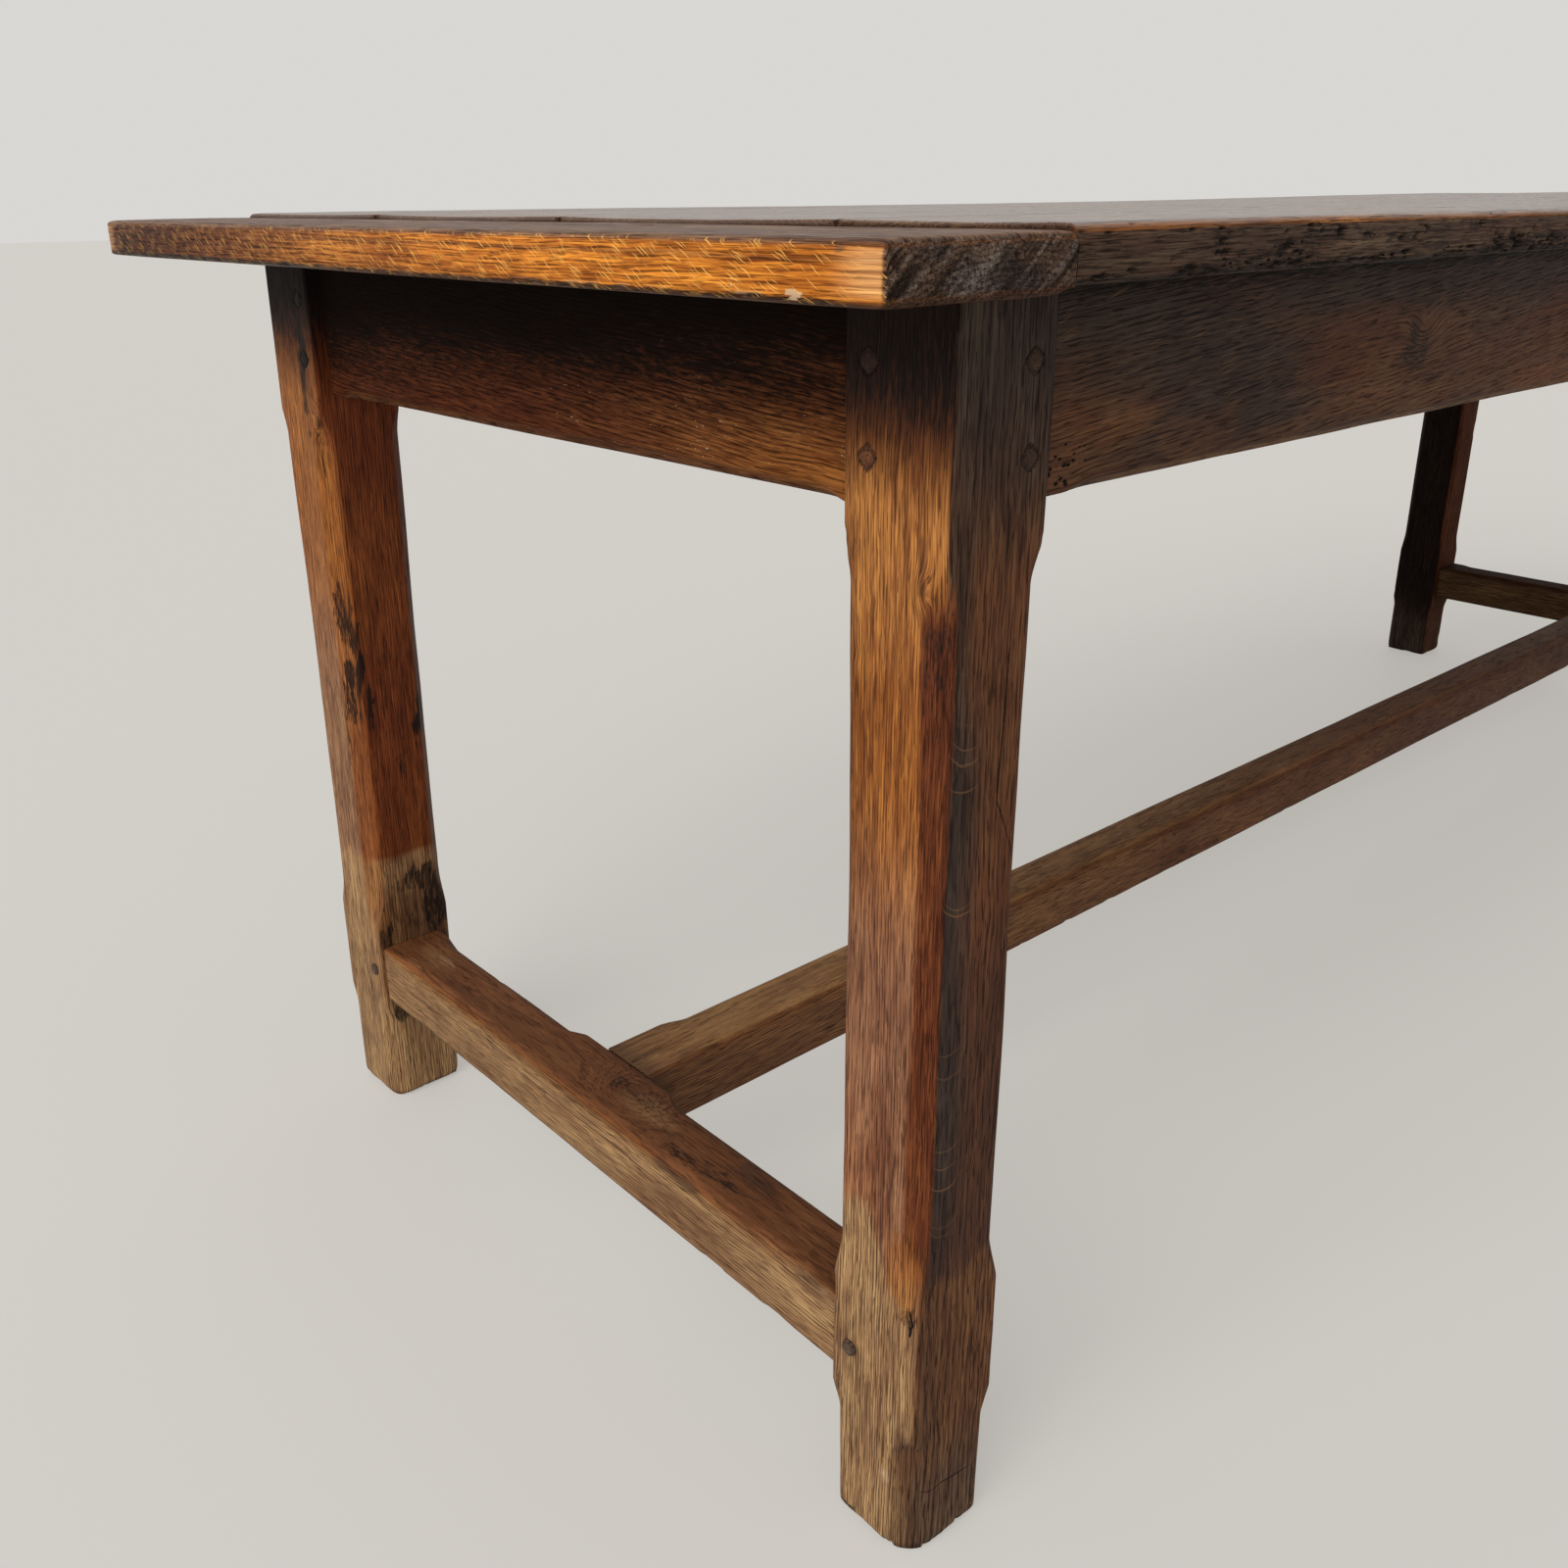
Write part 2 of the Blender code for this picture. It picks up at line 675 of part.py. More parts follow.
def make_bearer(end):
    """A cross bearer between the side aprons, its tenons let into them."""
    name = f"bearer_{end}"
    length = 2 * bearer_shoulder_y()
    half_width = BEARER_WIDTH / 2 - BEARER_TENON_SHOULDER
    half_rise = bearer_tenon_height() / 2
    mesh = board_mesh(
        name,
        (length, BEARER_WIDTH, BEARER_HEIGHT),
        (-half_width, -half_rise),
        (half_width, half_rise),
        BEARER_TENON_LENGTH,
        low_long_arris,
    )
    x = ENDS[end] * BEARER_X
    z = FRAME_TOP - BEARER_HEIGHT / 2
    bearer = add_piece(name, mesh, OAK_BEARER, (x, 0.0, z), math.pi / 2)
    round_arrises(bearer, BEARER_ARRIS)
    bores = []
    for front, back, _ in plank_places():
        start = (bearer_peg_y(front, back), 0.0, BEARER_HEIGHT / 2)
        bores.append((start, (0.0, 0.0, -1.0), BEARER_PEG_DEPTH + CLEARANCE))
    cut_bores(bearer, f"{name}_peg_bores", bores, TOP_PEG_RADIUS)


def plank_places():
    """Each plank's front edge, back edge and middle, from front to back."""
    total = TOP_WIDTH - 2 * PLANK_SHRINKAGE - (len(PLANK_WIDTH_SHARES) - 1) * PLANK_GAP
    places = []
    front = -TOP_WIDTH / 2 + PLANK_SHRINKAGE
    for share in PLANK_WIDTH_SHARES:
        back = front + total * share / sum(PLANK_WIDTH_SHARES)
        places.append((front, back, (front + back) / 2))
        front = back + PLANK_GAP
    return places


def make_plank(number, front, back, middle):
    """A long plank of the top, tenoned into both breadboards."""
    name = f"plank_{number}"
    width = back - front
    length = 2 * (PLANK_JOINT_X - PLANK_END_GAP)
    middle_z = PLANK_UNDERSIDE + PLANK_THICKNESS / 2
    half_width = width / 2 - PLANK_TENON_SHOULDER
    low_z = PLANK_TENON_Z - PLANK_TENON_THICKNESS / 2 - middle_z
    high_z = PLANK_TENON_Z + PLANK_TENON_THICKNESS / 2 - middle_z
    outer = {1: -1, len(PLANK_WIDTH_SHARES): 1}.get(number, 0)

    def weight(point, direction):
        along = long_arris(point, direction)
        if along and point.y * outer > 0:
            return 1.0 if point.z > 0 else LOW_ARRIS_SHARE
        return INNER_ARRIS_SHARE if along or point.z > 0 else 0.0

    mesh = board_mesh(
        name,
        (length, width, PLANK_THICKNESS),
        (-half_width, low_z),
        (half_width, high_z),
        PLANK_TENON_LENGTH,
        weight,
    )
    plank = add_piece(name, mesh, OAK_TOP, (0.0, middle, middle_z))
    round_arrises(plank, PLANK_ARRIS)
    bores = []
    top = PLANK_THICKNESS / 2
    for end in (-1, 1):
        peg_x = end * (PLANK_JOINT_X + BREADBOARD_PEG_INSET)
        bores.append(((peg_x, 0.0, top), (0.0, 0.0, -1.0), PLANK_THICKNESS + OVERRUN))
        peg_y = bearer_peg_y(front, back) - middle
        bores.append(((end * BEARER_X, peg_y, top), (0.0, 0.0, -1.0), PLANK_THICKNESS + OVERRUN))
    cut_bores(plank, f"{name}_peg_bores", bores, TOP_PEG_RADIUS)


def make_breadboard(end):
    """The board across one end of the top, its outer face towards its own -Y."""
    name = f"breadboard_{end}"
    sign = ENDS[end]
    length = TOP_WIDTH
    half_width = BREADBOARD_WIDTH / 2
    half_rise = BREADBOARD_THICKNESS / 2
    bevel_height = PLANK_UNDERSIDE - BREADBOARD_UNDERSIDE
    section = [
        (-half_width, -half_rise),
        (half_width - BREADBOARD_BEVEL_WIDTH, -half_rise),
        (half_width, -half_rise + bevel_height),
        (half_width, half_rise),
        (-half_width, half_rise),
    ]
    mesh = outline_mesh(name, section, length)
    bm = bmesh.new()
    bm.from_mesh(mesh)
    stand = Matrix(((0, 0, 1), (1, 0, 0), (0, 1, 0)))
    bmesh.ops.rotate(bm, verts=bm.verts, cent=(0, 0, 0), matrix=stand)
    bmesh.ops.dissolve_limit(bm, angle_limit=FLAT_ANGLE, verts=bm.verts, edges=bm.edges)

    def weight(point, direction):
        if point.y > half_width - BREADBOARD_BEVEL_WIDTH - BREADBOARD_ARRIS:
            return INNER_ARRIS_SHARE if point.z > 0 else 0.0
        return 1.0

    weigh_edges(bm, weight)
    bmesh.ops.recalc_face_normals(bm, faces=bm.faces)
    bm.to_mesh(mesh)
    bm.free()
    x = sign * (TOP_LENGTH / 2 - half_width)
    middle_z = BREADBOARD_TOP - half_rise
    board = add_piece(name, mesh, OAK_BREADBOARD, (x, 0.0, middle_z), sign * math.pi / 2)
    round_arrises(board, BREADBOARD_ARRIS)

    housing_y = END_OVERHANG - half_width - CLEARANCE
    reach = HALF_WIDTH + CLEARANCE
    roof = FRAME_TOP + HOUSING_GAP - middle_z
    corners = ((-reach, housing_y, -half_rise - OVERRUN), (reach, half_width + OVERRUN, roof))
    cut_box(board, f"{name}_frame_housing", corners)
    bores = []
    depth = PLANK_TENON_LENGTH + PLANK_END_GAP + MORTISE_END_GAP
    for number, (front, back, middle) in enumerate(plank_places(), 1):
        half_tenon = (back - front) / 2 - PLANK_TENON_SHOULDER + CLEARANCE
        low_z = PLANK_TENON_Z - PLANK_TENON_THICKNESS / 2 - CLEARANCE - middle_z
        high_z = PLANK_TENON_Z + PLANK_TENON_THICKNESS / 2 + CLEARANCE - middle_z
        place = sign * middle
        cut_box(
            board,
            f"{name}_mortise_{number}",
            (
                (place - half_tenon, half_width - depth, low_z),
                (place + half_tenon, half_width + OVERRUN, high_z),
            ),
        )
        start = (place, half_width - BREADBOARD_PEG_INSET, half_rise)
        bores.append((start, (0.0, 0.0, -1.0), BREADBOARD_THICKNESS + OVERRUN))
    cut_bores(board, f"{name}_peg_bores", bores, TOP_PEG_RADIUS)


def peg_mesh(name, length, radius):
    """A whittled peg along its own +Z, its head at the origin, its tip tapered."""
    bm = bmesh.new()
    add_rod(bm, (0.0, 0.0, 0.0), (0.0, 0.0, 1.0), length, radius)
    shank_end = [vert for vert in bm.verts if vert.co.z > length / 2]
    cap = max(bm.faces, key=lambda face: face.calc_center_median().z)
    tip = bmesh.ops.extrude_discrete_faces(bm, faces=[cap])["faces"][0]
    bmesh.ops.translate(bm, verts=shank_end, vec=(0.0, 0.0, -PEG_TIP_LENGTH))
    slim = (PEG_TIP_SHARE, PEG_TIP_SHARE, 1.0)
    bmesh.ops.scale(bm, verts=tip.verts, vec=slim)
    bmesh.ops.recalc_face_normals(bm, faces=bm.faces)
    mesh = mesh_of(name, bm)
    mesh.materials.append(oak(OAK_PEG))
    mesh.shade_smooth()
    mesh.set_sharp_from_angle(angle=SMOOTH_ANGLE)
    return mesh


def add_peg(name, mesh, head, direction):
    peg = add_object(name, mesh, TABLE, parent=ROOT)
    peg.location = head
    peg.rotation_euler = Vector(direction).to_track_quat("Z", "Y").to_euler()


def make_frame_pegs():
    """Pegs that lock the tenons of the aprons and the stretchers."""
    length = FRAME_PEG_LENGTH + FRAME_PEG_PROUD - MORTISE_END_GAP
    apron_peg = peg_mesh("apron_peg", length, FRAME_PEG_RADIUS)
    length = STRETCHER_PEG_LENGTH + STRETCHER_PEG_PROUD - MORTISE_END_GAP
    stretcher_peg = peg_mesh("stretcher_peg", length, FRAME_PEG_RADIUS)
    centre_peg = peg_mesh("centre_peg", CENTRE_PEG_LENGTH - MORTISE_END_GAP, FRAME_PEG_RADIUS)
    for side, out_y in SIDES.items():
        for end, out_x in ENDS.items():
            across_x = out_x * (HALF_LENGTH - LEG_SIZE + FRAME_PEG_FROM_SHOULDER)
            across_y = out_y * (HALF_WIDTH - LEG_SIZE + FRAME_PEG_FROM_SHOULDER)
            face_x = out_x * (HALF_LENGTH + FRAME_PEG_PROUD)
            face_y = out_y * (HALF_WIDTH + FRAME_PEG_PROUD)
            for level, height in zip(("upper", "lower"), APRON_PEG_HEIGHTS):
                name = f"peg_{side}_{end}"
                add_peg(f"{name}_side_{level}", apron_peg, (across_x, face_y, height), (0, -out_y, 0))
                add_peg(f"{name}_end_{level}", apron_peg, (face_x, across_y, height), (-out_x, 0, 0))
            proud_x = out_x * (HALF_LENGTH + STRETCHER_PEG_PROUD)
            head = (proud_x, across_y, STRETCHER_MIDDLE_Z)
            add_peg(f"peg_{side}_{end}_stretcher", stretcher_peg, head, (-out_x, 0, 0))
    for end, out_x in ENDS.items():
        x = out_x * (centre_shoulder_x() + CLEARANCE + FRAME_PEG_FROM_SHOULDER)
        add_peg(f"peg_centre_{end}", centre_peg, (x, 0.0, STRETCHER_UNDERSIDE), (0, 0, 1))


def breadboard_peg_length():
    """Through the board, or down to the frame where the peg stands over it."""
    foot = BREADBOARD_UNDERSIDE
    if PLANK_JOINT_X + BREADBOARD_PEG_INSET - TOP_PEG_RADIUS < HALF_LENGTH + CLEARANCE:
        foot = FRAME_TOP + HOUSING_GAP
    return BREADBOARD_TOP - TOP_PEG_SUNK - foot


def make_top_pegs():
    """Pegs through the breadboards and through the planks into the bearers."""
    bread_peg = peg_mesh("breadboard_peg", breadboard_peg_length(), TOP_PEG_RADIUS)
    length = PLANK_THICKNESS + BEARER_PEG_DEPTH - TOP_PEG_SUNK - MORTISE_END_GAP
    bearer_peg = peg_mesh("bearer_peg", length, TOP_PEG_RADIUS)
    for end, out_x in ENDS.items():
        bread_x = out_x * (PLANK_JOINT_X + BREADBOARD_PEG_INSET)
        for number, (front, back, middle) in enumerate(plank_places(), 1):
            head = (bread_x, middle, BREADBOARD_TOP - TOP_PEG_SUNK)
            add_peg(f"peg_breadboard_{end}_{number}", bread_peg, head, (0, 0, -1))
            head = (out_x * BEARER_X, bearer_peg_y(front, back), TABLE_HEIGHT - TOP_PEG_SUNK)
            add_peg(f"peg_bearer_{end}_{number}", bearer_peg, head, (0, 0, -1))


clear_scene()
TABLE = new_collection("farmhouse_table")
CUTTERS = new_collection("cutters", hidden=True)
ROOT = add_object("table_origin", None, TABLE)

for leg_side in SIDES:
    for leg_end in ENDS:
        make_leg(leg_side, leg_end)
    make_side_apron(leg_side)
for table_end in ENDS:
    make_end_apron(table_end)
    make_end_stretcher(table_end)
    make_bearer(table_end)
    make_breadboard(table_end)
make_centre_stretcher()
for plank_number, plank_place in enumerate(plank_places(), 1):
    make_plank(plank_number, *plank_place)
make_frame_pegs()
make_top_pegs()
bpy.context.view_layer.update()
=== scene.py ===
"""Looks of the farmhouse table: old waxed oak, worn and stained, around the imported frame.

Each piece of wood is a fine net of points laid over its CAD node's box. Functions carve
its arrises, dent it and work out its colours in millimetres, and its mesh is made in
metres. One node material per kind of board adds the grain. A mark's place on a face is
measured from the board's lowest corner.
"""

import itertools
import math

import bpy
import numpy as np
from mathutils import Matrix, Vector


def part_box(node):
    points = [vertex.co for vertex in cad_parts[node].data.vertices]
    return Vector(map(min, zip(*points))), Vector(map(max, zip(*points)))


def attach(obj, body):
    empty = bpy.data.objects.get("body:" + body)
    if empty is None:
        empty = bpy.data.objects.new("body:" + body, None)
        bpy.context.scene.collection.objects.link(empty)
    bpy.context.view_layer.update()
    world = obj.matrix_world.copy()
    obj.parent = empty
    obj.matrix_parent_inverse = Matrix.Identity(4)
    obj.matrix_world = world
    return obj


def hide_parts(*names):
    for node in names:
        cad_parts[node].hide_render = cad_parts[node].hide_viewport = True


MM = 0.001
X, Y, Z = 0, 1, 2
TOP, UNDER = (Z, 1), (Z, -1)

# Which way a board at that end or side of the table looks
OUTWARD = {"left": -1, "right": 1, "front": -1, "back": 1}

# A noise size so long that the noise hardly changes that way
LONG = 1000

# Places tried along an axis to share out its cuts
CUT_SAMPLES = 8001

# How much coarser a board's net is than that of the boards in full view
IN_VIEW, LEG_NET, HIDDEN_NET, PLANK_NET = 1.0, 1.6, 2.0, 2.8

# Columns of a board's marks and of its spots, which its material reads
MATT, WORMY, OPEN = 0, 1, 2
GRIMY_AND_SHADED, BARE, RUBBED = 0, 1, 2

# Camera, solved from the photograph, in pixels of its 1600 x 1600 frame and in metres
PHOTO_SIDE = 1600
FOCAL_PIXELS = 1468.63
PRINCIPAL_PIXEL = (767.8, 757.1)
CAMERA_AT = (-1.5233, -0.7799, 0.7815)
CAMERA_YAW = math.radians(49.2187)
CAMERA_PITCH = math.radians(20.9261)
CAMERA_ROLL = math.radians(-0.5567)
SENSOR_MM = 36.0

# Light and floor, in metres
SKY_LOW = 0.90
SKY_HIGH = 0.50
SKY_FADE = 0.7
SKY_SEEN = (0.69, 0.68, 0.66)
FLOOR_SEEN = (0.69, 0.66, 0.615)
FLOOR_SEEN_SHARE = 0.55
KEY_STRENGTH = 1.9
KEY_COLOUR = (1.0, 0.985, 0.96)
KEY_AT = (0, 0, 3)
KEY_FROM = (-0.82, -0.22, 0.62)
KEY_SPREAD = math.radians(44)
WINDOW_AT = (-3.6, -0.35, 0.95)
WINDOW_SIZE = (1.3, 1.5)
WINDOW_POWER = 16
WINDOW_FROM = (-1, -0.1, 0.03)
FLOOR_COLOUR = (0.63, 0.615, 0.585)
FLOOR_ROUGHNESS = 0.55
FLOOR_SHINE = 0.2
FLOOR_REACH = 30.0

# Oak colours, as linear light
ORANGE = (0.25, 0.082, 0.015)
AMBER = (0.43, 0.135, 0.016)
HONEY = (0.36, 0.145, 0.038)
GOLD = (0.85, 0.46, 0.11)
TAN = (0.22, 0.110, 0.044)
ROSE = (0.20, 0.090, 0.048)
BROWN = (0.125, 0.045, 0.016)
MAHOGANY = (0.125, 0.027, 0.007)
RUSSET = (0.175, 0.048, 0.010)
RED_BROWN = (0.085, 0.020, 0.006)
COFFEE = (0.030, 0.011, 0.005)
GREY_BROWN = (0.090, 0.057, 0.038)
UMBER = (0.056, 0.027, 0.015)
SLATE = (0.032, 0.022, 0.018)
# Black, for grime, holes and cracks, and also painted shade at the far end and under the top
SOOT_AND_SHADE = (0.006, 0.0035, 0.0025)
BLEACHED = (0.26, 0.145, 0.064)
PALE_TOP = (0.17, 0.090, 0.050)
PALE_GREY = (0.15, 0.115, 0.100)
CHIP = (0.50, 0.36, 0.22)
# Rubbed wood with a painted highlight, for the breadboards' rounded corners
WEAR_AND_HIGHLIGHT = (0.62, 0.33, 0.13)

# Each wood's ring in millimetres, contrast, roughness, shine, relief of its grain, and its
# rays: their length and width in millimetres, the share kept and their colour
PLAIN_RAYS = (26, 1.3, 0.3, GOLD)
WOODS = {
    "top": (3.2, 0.68, 0.24, 0.42, 0.45, PLAIN_RAYS),
    "top_sides": (3.0, 0.75, 0.55, 0.1, 1.0, PLAIN_RAYS),
    "breadboard": (2.6, 1.0, 0.38, 0.045, 0.6, (18, 0.95, 0.6, GOLD)),
    "legs": (2.0, 0.88, 0.46, 0.1, 1.0, (60, 2.6, 0.09, TAN)),
    "aprons": (3.0, 0.62, 0.5, 0.1, 1.0, (34, 1.6, 0.3, TAN)),
    "dark": (3.0, 0.85, 0.55, 0.035, 1.0, PLAIN_RAYS),
    "stretchers": (2.6, 0.65, 0.52, 0.12, 1.0, PLAIN_RAYS),
    "bearers": (3.4, 0.8, 0.6, 0.1, 1.0, PLAIN_RAYS),
    "pegs": (2.0, 0.7, 0.5, 0.14, 1.0, PLAIN_RAYS),
}


def rise(x, start, end):
    """0 before start, 1 past end and smooth between. It falls where end is before start."""
    share = np.clip((np.asarray(x, float) - start) / (end - start), 0.0, 1.0)
    return share * share * (3 - 2 * share)


def stopped(place, start, end, start_stop, end_stop):
    """0 outside start to end, 1 between the stops, as a stopped chamfer runs."""
    return rise(place, start, start + start_stop) * rise(place, end, end - end_stop)


def ramp(x, soft):
    """x where it is positive and 0 where it isn't, with the bend rounded over soft."""
    return (x + np.sqrt(x * x + soft * soft)) / 2


def hashed(places, seed):
    """A repeatable number from 0 to 1 for each whole-numbered place."""
    mask = 0xFFFFFFFF
    total = places @ np.array([374761393, 668265263, 1442695041]) + seed * 974711
    total = (total & mask) ^ ((total & mask) >> 13)
    total = (total * 1274126177) & mask
    return (total ^ (total >> 16)) / mask


def noise(points, size, seed, octaves=1):
    """Smooth noise from about -1 to 1. size is one length, or one for each axis."""
    total = 0.0
    weight = 1.0
    cells = points / np.asarray(size, float)
    for octave in range(octaves):
        base = np.floor(cells).astype(np.int64)
        part = cells - base
        part = part * part * (3 - 2 * part)
        value = 0.0
        for corner in itertools.product((0, 1), repeat=3):
            near = np.prod(np.where(corner, part, 1 - part), axis=1)
            value = value + near * hashed(base + corner, seed + octave)
        total = total + weight * (2 * value - 1)
        weight /= 2
        cells = cells * 2
    return total / (2 - 2 * weight)


def cuts(low, high, step, edge=0, edge_step=0, fine=()):
    """Places from low to high, step apart.

    They are edge_step apart within edge of both ends, and closer in each fine stretch
    (start, end, step).
    """
    ends = [(low, low + edge, edge_step), (high - edge, high, edge_step)] if edge else []
    at = np.linspace(low, high, CUT_SAMPLES)
    gap = np.full_like(at, step)
    for start, end, small in (*ends, *fine):
        inside = (at >= start) & (at <= end)
        gap[inside] = np.minimum(gap[inside], small)
    pace = 1 / gap
    count = np.concatenate(([0.0], np.cumsum((pace[1:] + pace[:-1]) / 2 * np.diff(at))))
    number = max(2, math.ceil(count[-1]) + 1)
    return np.interp(np.linspace(0, count[-1], number), count, at)


def net(low, high, spacing, bands=None):
    """Places along each axis, from its step, edge and edge step, and its fine stretches."""
    bands = bands or {}
    return [
        cuts(low[axis], high[axis], *spacing[axis], fine=bands.get(axis, ()))
        for axis in (X, Y, Z)
    ]


def skin(places):
    """Points and four-sided faces of a box's skin, cut at the places along each axis."""
    shape = tuple(len(p) for p in places)
    grid = np.indices(shape)
    outer = np.zeros(shape, bool)
    for axis in (X, Y, Z):
        outer |= (grid[axis] == 0) | (grid[axis] == shape[axis] - 1)
    numbers = np.full(shape, -1)
    numbers[outer] = np.arange(outer.sum())
    points = np.stack([np.asarray(places[axis])[grid[axis][outer]] for axis in (X, Y, Z)], 1)
    faces = []
    for axis, flipped in ((X, False), (Y, True), (Z, False)):
        for end in (0, -1):
            sheet = np.take(numbers, end, axis=axis)
            around = (sheet[:-1, :-1], sheet[1:, :-1], sheet[1:, 1:], sheet[:-1, 1:])
            quads = np.stack(around, -1).reshape(-1, 4)
            faces.append(quads[:, ::-1] if flipped != (end == 0) else quads)
    return points, np.concatenate(faces)


def face_axes(face):
    """The two axes that a face spans, in order."""
    return [axis for axis in (X, Y, Z) if axis != face[0]]


def add_object(name, data):
    made = bpy.data.objects.new(name, data)
    bpy.context.scene.collection.objects.link(made)
    return made


class Board:
    """One piece of wood, shaped and coloured point by point.

    A face is (axis, sign). A mark's place and half size on it are two numbers each, along
    the face's axes in X, Y, Z order.
    """

    # The value of a place far from every crack, where the noise starts, and the least
    # angle between two faces that stays sharp
    FAR = 60.0
    NOISE_START = 7300
    SHARP_ANGLE = math.radians(50)

    def __init__(self, name, places, along, seed, blend=5):
        self.name = name
        self.along = along
        self.across = face_axes((along, 1))
        self.seed = seed
        self.points, self.quads = skin(places)
        self.low = self.points.min(0)
        self.high = self.points.max(0)
        inner = np.clip(self.points, self.low + blend, self.high - blend)
        self.out = self.points - inner
        self.out /= np.linalg.norm(self.out, axis=1)[:, None]
        self.start = self.points.copy()
        count = len(self.points)
        self.tint = np.ones((count, 3))
        self.marks, self.spots, self.rays = np.zeros((3, count, 3))
        self.cracks = np.full((count, 3), self.FAR)
        self.crack_count = 0
        self.warp = np.zeros(count)

    def at(self, axis):
        return self.start[:, axis]

    def facing(self, axis, sign, sharp=0.7):
        """1 on the face that looks that way, 0 on the others."""
        return rise(self.out[:, axis] * sign, sharp - 0.15, sharp + 0.15)

    def arris(self, first, second):
        """1 along the edge that two faces share, 0 away from it."""
        one, two = (self.out[:, axis] * sign for axis, sign in (first, second))
        return rise(one, 0.1, 0.5) * rise(two, 0.1, 0.5)

    def inset(self, axis, sign):
        """How far each point lies inside that face's plane."""
        return self.high[axis] - self.at(axis) if sign > 0 else self.at(axis) - self.low[axis]

    def from_ends(self):
        """How far each point lies from the nearer end of the board."""
        return np.minimum(self.inset(self.along, 1), self.inset(self.along, -1))

    def noise(self, along, across, seed, octaves=1):
        size = np.full(3, across, float)
        size[self.along] = along
        return noise(self.start + self.NOISE_START, size, self.seed * 31 + seed, octaves)

    def patches(self, along, across, seed, start, end):
        """1 in scattered patches of noise, 0 between them."""
        return rise(self.noise(along, across, seed, 3), start, end)

    def height_over(self, axis, sign):
        edge = self.high[axis] if sign > 0 else -self.low[axis]
        return self.points[:, axis] * sign - edge

    def carve(self, first, second, width, soft, second_width=None):
        """Cuts the arris where two faces meet, this wide on each of them."""
        second_width = width if second_width is None else second_width
        norm = np.sqrt(width**2 + second_width**2)
        over = self.height_over(*first) * second_width + self.height_over(*second) * width
        depth = ramp((over + width * second_width) / norm, soft)
        self.points[:, first[0]] -= first[1] * depth * second_width / norm
        self.points[:, second[0]] -= second[1] * depth * width / norm

    def sink(self, depth):
        """Moves the surface inwards."""
        self.points -= self.out * np.asarray(depth)[:, None]

    def paint(self, colour, weight):
        weight = np.clip(weight, 0, 1) * np.ones(len(self.points))
        self.tint = self.tint + (np.array(colour) - self.tint) * weight[:, None]

    def shade(self, factor):
        self.tint = self.tint * np.asarray(factor)[:, None]

    def offset(self, face, centre):
        """How far each point lies from a place on a face, along each of its axes."""
        return [
            self.at(axis) - self.low[axis] - middle
            for axis, middle in zip(face_axes(face), centre)
        ]

    def patch(self, face, centre, size, ragged=0.5):
        """1 in an oval with an uneven edge."""
        one, two = self.offset(face, centre)
        far = np.hypot(one / size[0], two / size[1])
        reach = min(size)
        uneven = self.noise(1.6 * reach, 0.7 * reach, 90, 3)
        return rise(far + ragged * uneven, 1.15, 0.55) * self.facing(*face, 0.5)

    def stain(self, face, *stains):
        """Paints ovals, each given by colour, strength, place, half size and raggedness."""
        for colour, strength, *oval in stains:
            self.paint(colour, strength * self.patch(face, *oval))

    def smear(self, face, *smears):
        """Blackens ovals, each given by strength, place, half size and raggedness."""
        for strength, *oval in smears:
            self.grime_and_shade(strength * self.patch(face, *oval))

    def spot(self, column, amount):
        self.spots[:, column] = np.maximum(self.spots[:, column], amount)

    def grime_and_shade(self, amount):
        """Black dirt, and painted shade under the top and at the far end, which the material
        breaks up along the grain.
        """
        self.spot(GRIMY_AND_SHADED, amount)

    def bare(self, amount):
        """Pale fresh wood, which the material breaks up into flakes."""
        self.spot(BARE, amount)

    def smooth(self, amount):
        """Where the surface is rubbed so even that its grain shows less."""
        self.spot(RUBBED, amount)

    def knot(self, face, centre, size, dark=0.8, pull=2.0):
        """A knot: the grain runs round it and its middle is dark."""
        reach = [1.7 * size if axis == self.along else size for axis in face_axes(face)]
        one, two = self.offset(face, centre)
        far = np.hypot(one / reach[0], two / reach[1])
        here = self.facing(*face, 0.5)
        self.warp += pull * size * np.exp(-far * far / 3) * here
        uneven = 0.5 * self.noise(size, size, 77, 2)
        self.paint(SOOT_AND_SHADE, dark * here * rise(far + uneven, 1.0, 0.3))

    def crack(self, face, line, width):
        """A split. line lists places on the face, ordered along its longer way."""
        line = np.array(line, float)
        spans = np.ptp(line, axis=0)
        run, side = (0, 1) if spans[0] > spans[1] else (1, 0)
        line = line[np.argsort(line[:, run])]
        parts = self.offset(face, (0, 0))
        share = (parts[run] - line[0, run]) / spans[run]
        here = (share > 0) & (share < 1) & (self.facing(*face, 0.5) > 0.5)
        taper = np.sqrt(np.clip(np.sin(np.clip(share, 0, 1) * math.pi), 1e-4, 1))
        value = parts[side] - np.interp(parts[run], line[:, run], line[:, side])
        value = value / (width / 2 * taper)
        value = np.where(here, np.clip(value, -self.FAR, self.FAR), self.FAR * np.sign(value))
        self.cracks[:, self.crack_count] = value
        self.crack_count += 1

    def set_rays(self, face, u, v, strength):
        self.rays = np.stack([u * MM, v * MM, strength * self.facing(*face, 0.5)], 1)

    def flecks(self, face, angle, strength):
        """Where the wood's rays show on a face, and how far they lean from the grain."""
        across = next(axis for axis in self.across if axis != face[0])
        cosine, sine = math.cos(math.radians(angle)), math.sin(math.radians(angle))
        one, two = self.at(self.along), self.at(across)
        self.set_rays(face, one * cosine + two * sine, two * cosine - one * sine, strength)

    def arcs(self, face, middle, bend, strength):
        """Rays that cross a face as shallow bowls, lowest at the middle."""
        across = next(axis for axis in self.across if axis != face[0])
        side = self.at(across) - middle + 4 * self.noise(45, LONG, 53, 2)
        self.set_rays(face, side, self.at(self.along) - bend * side * side, strength)

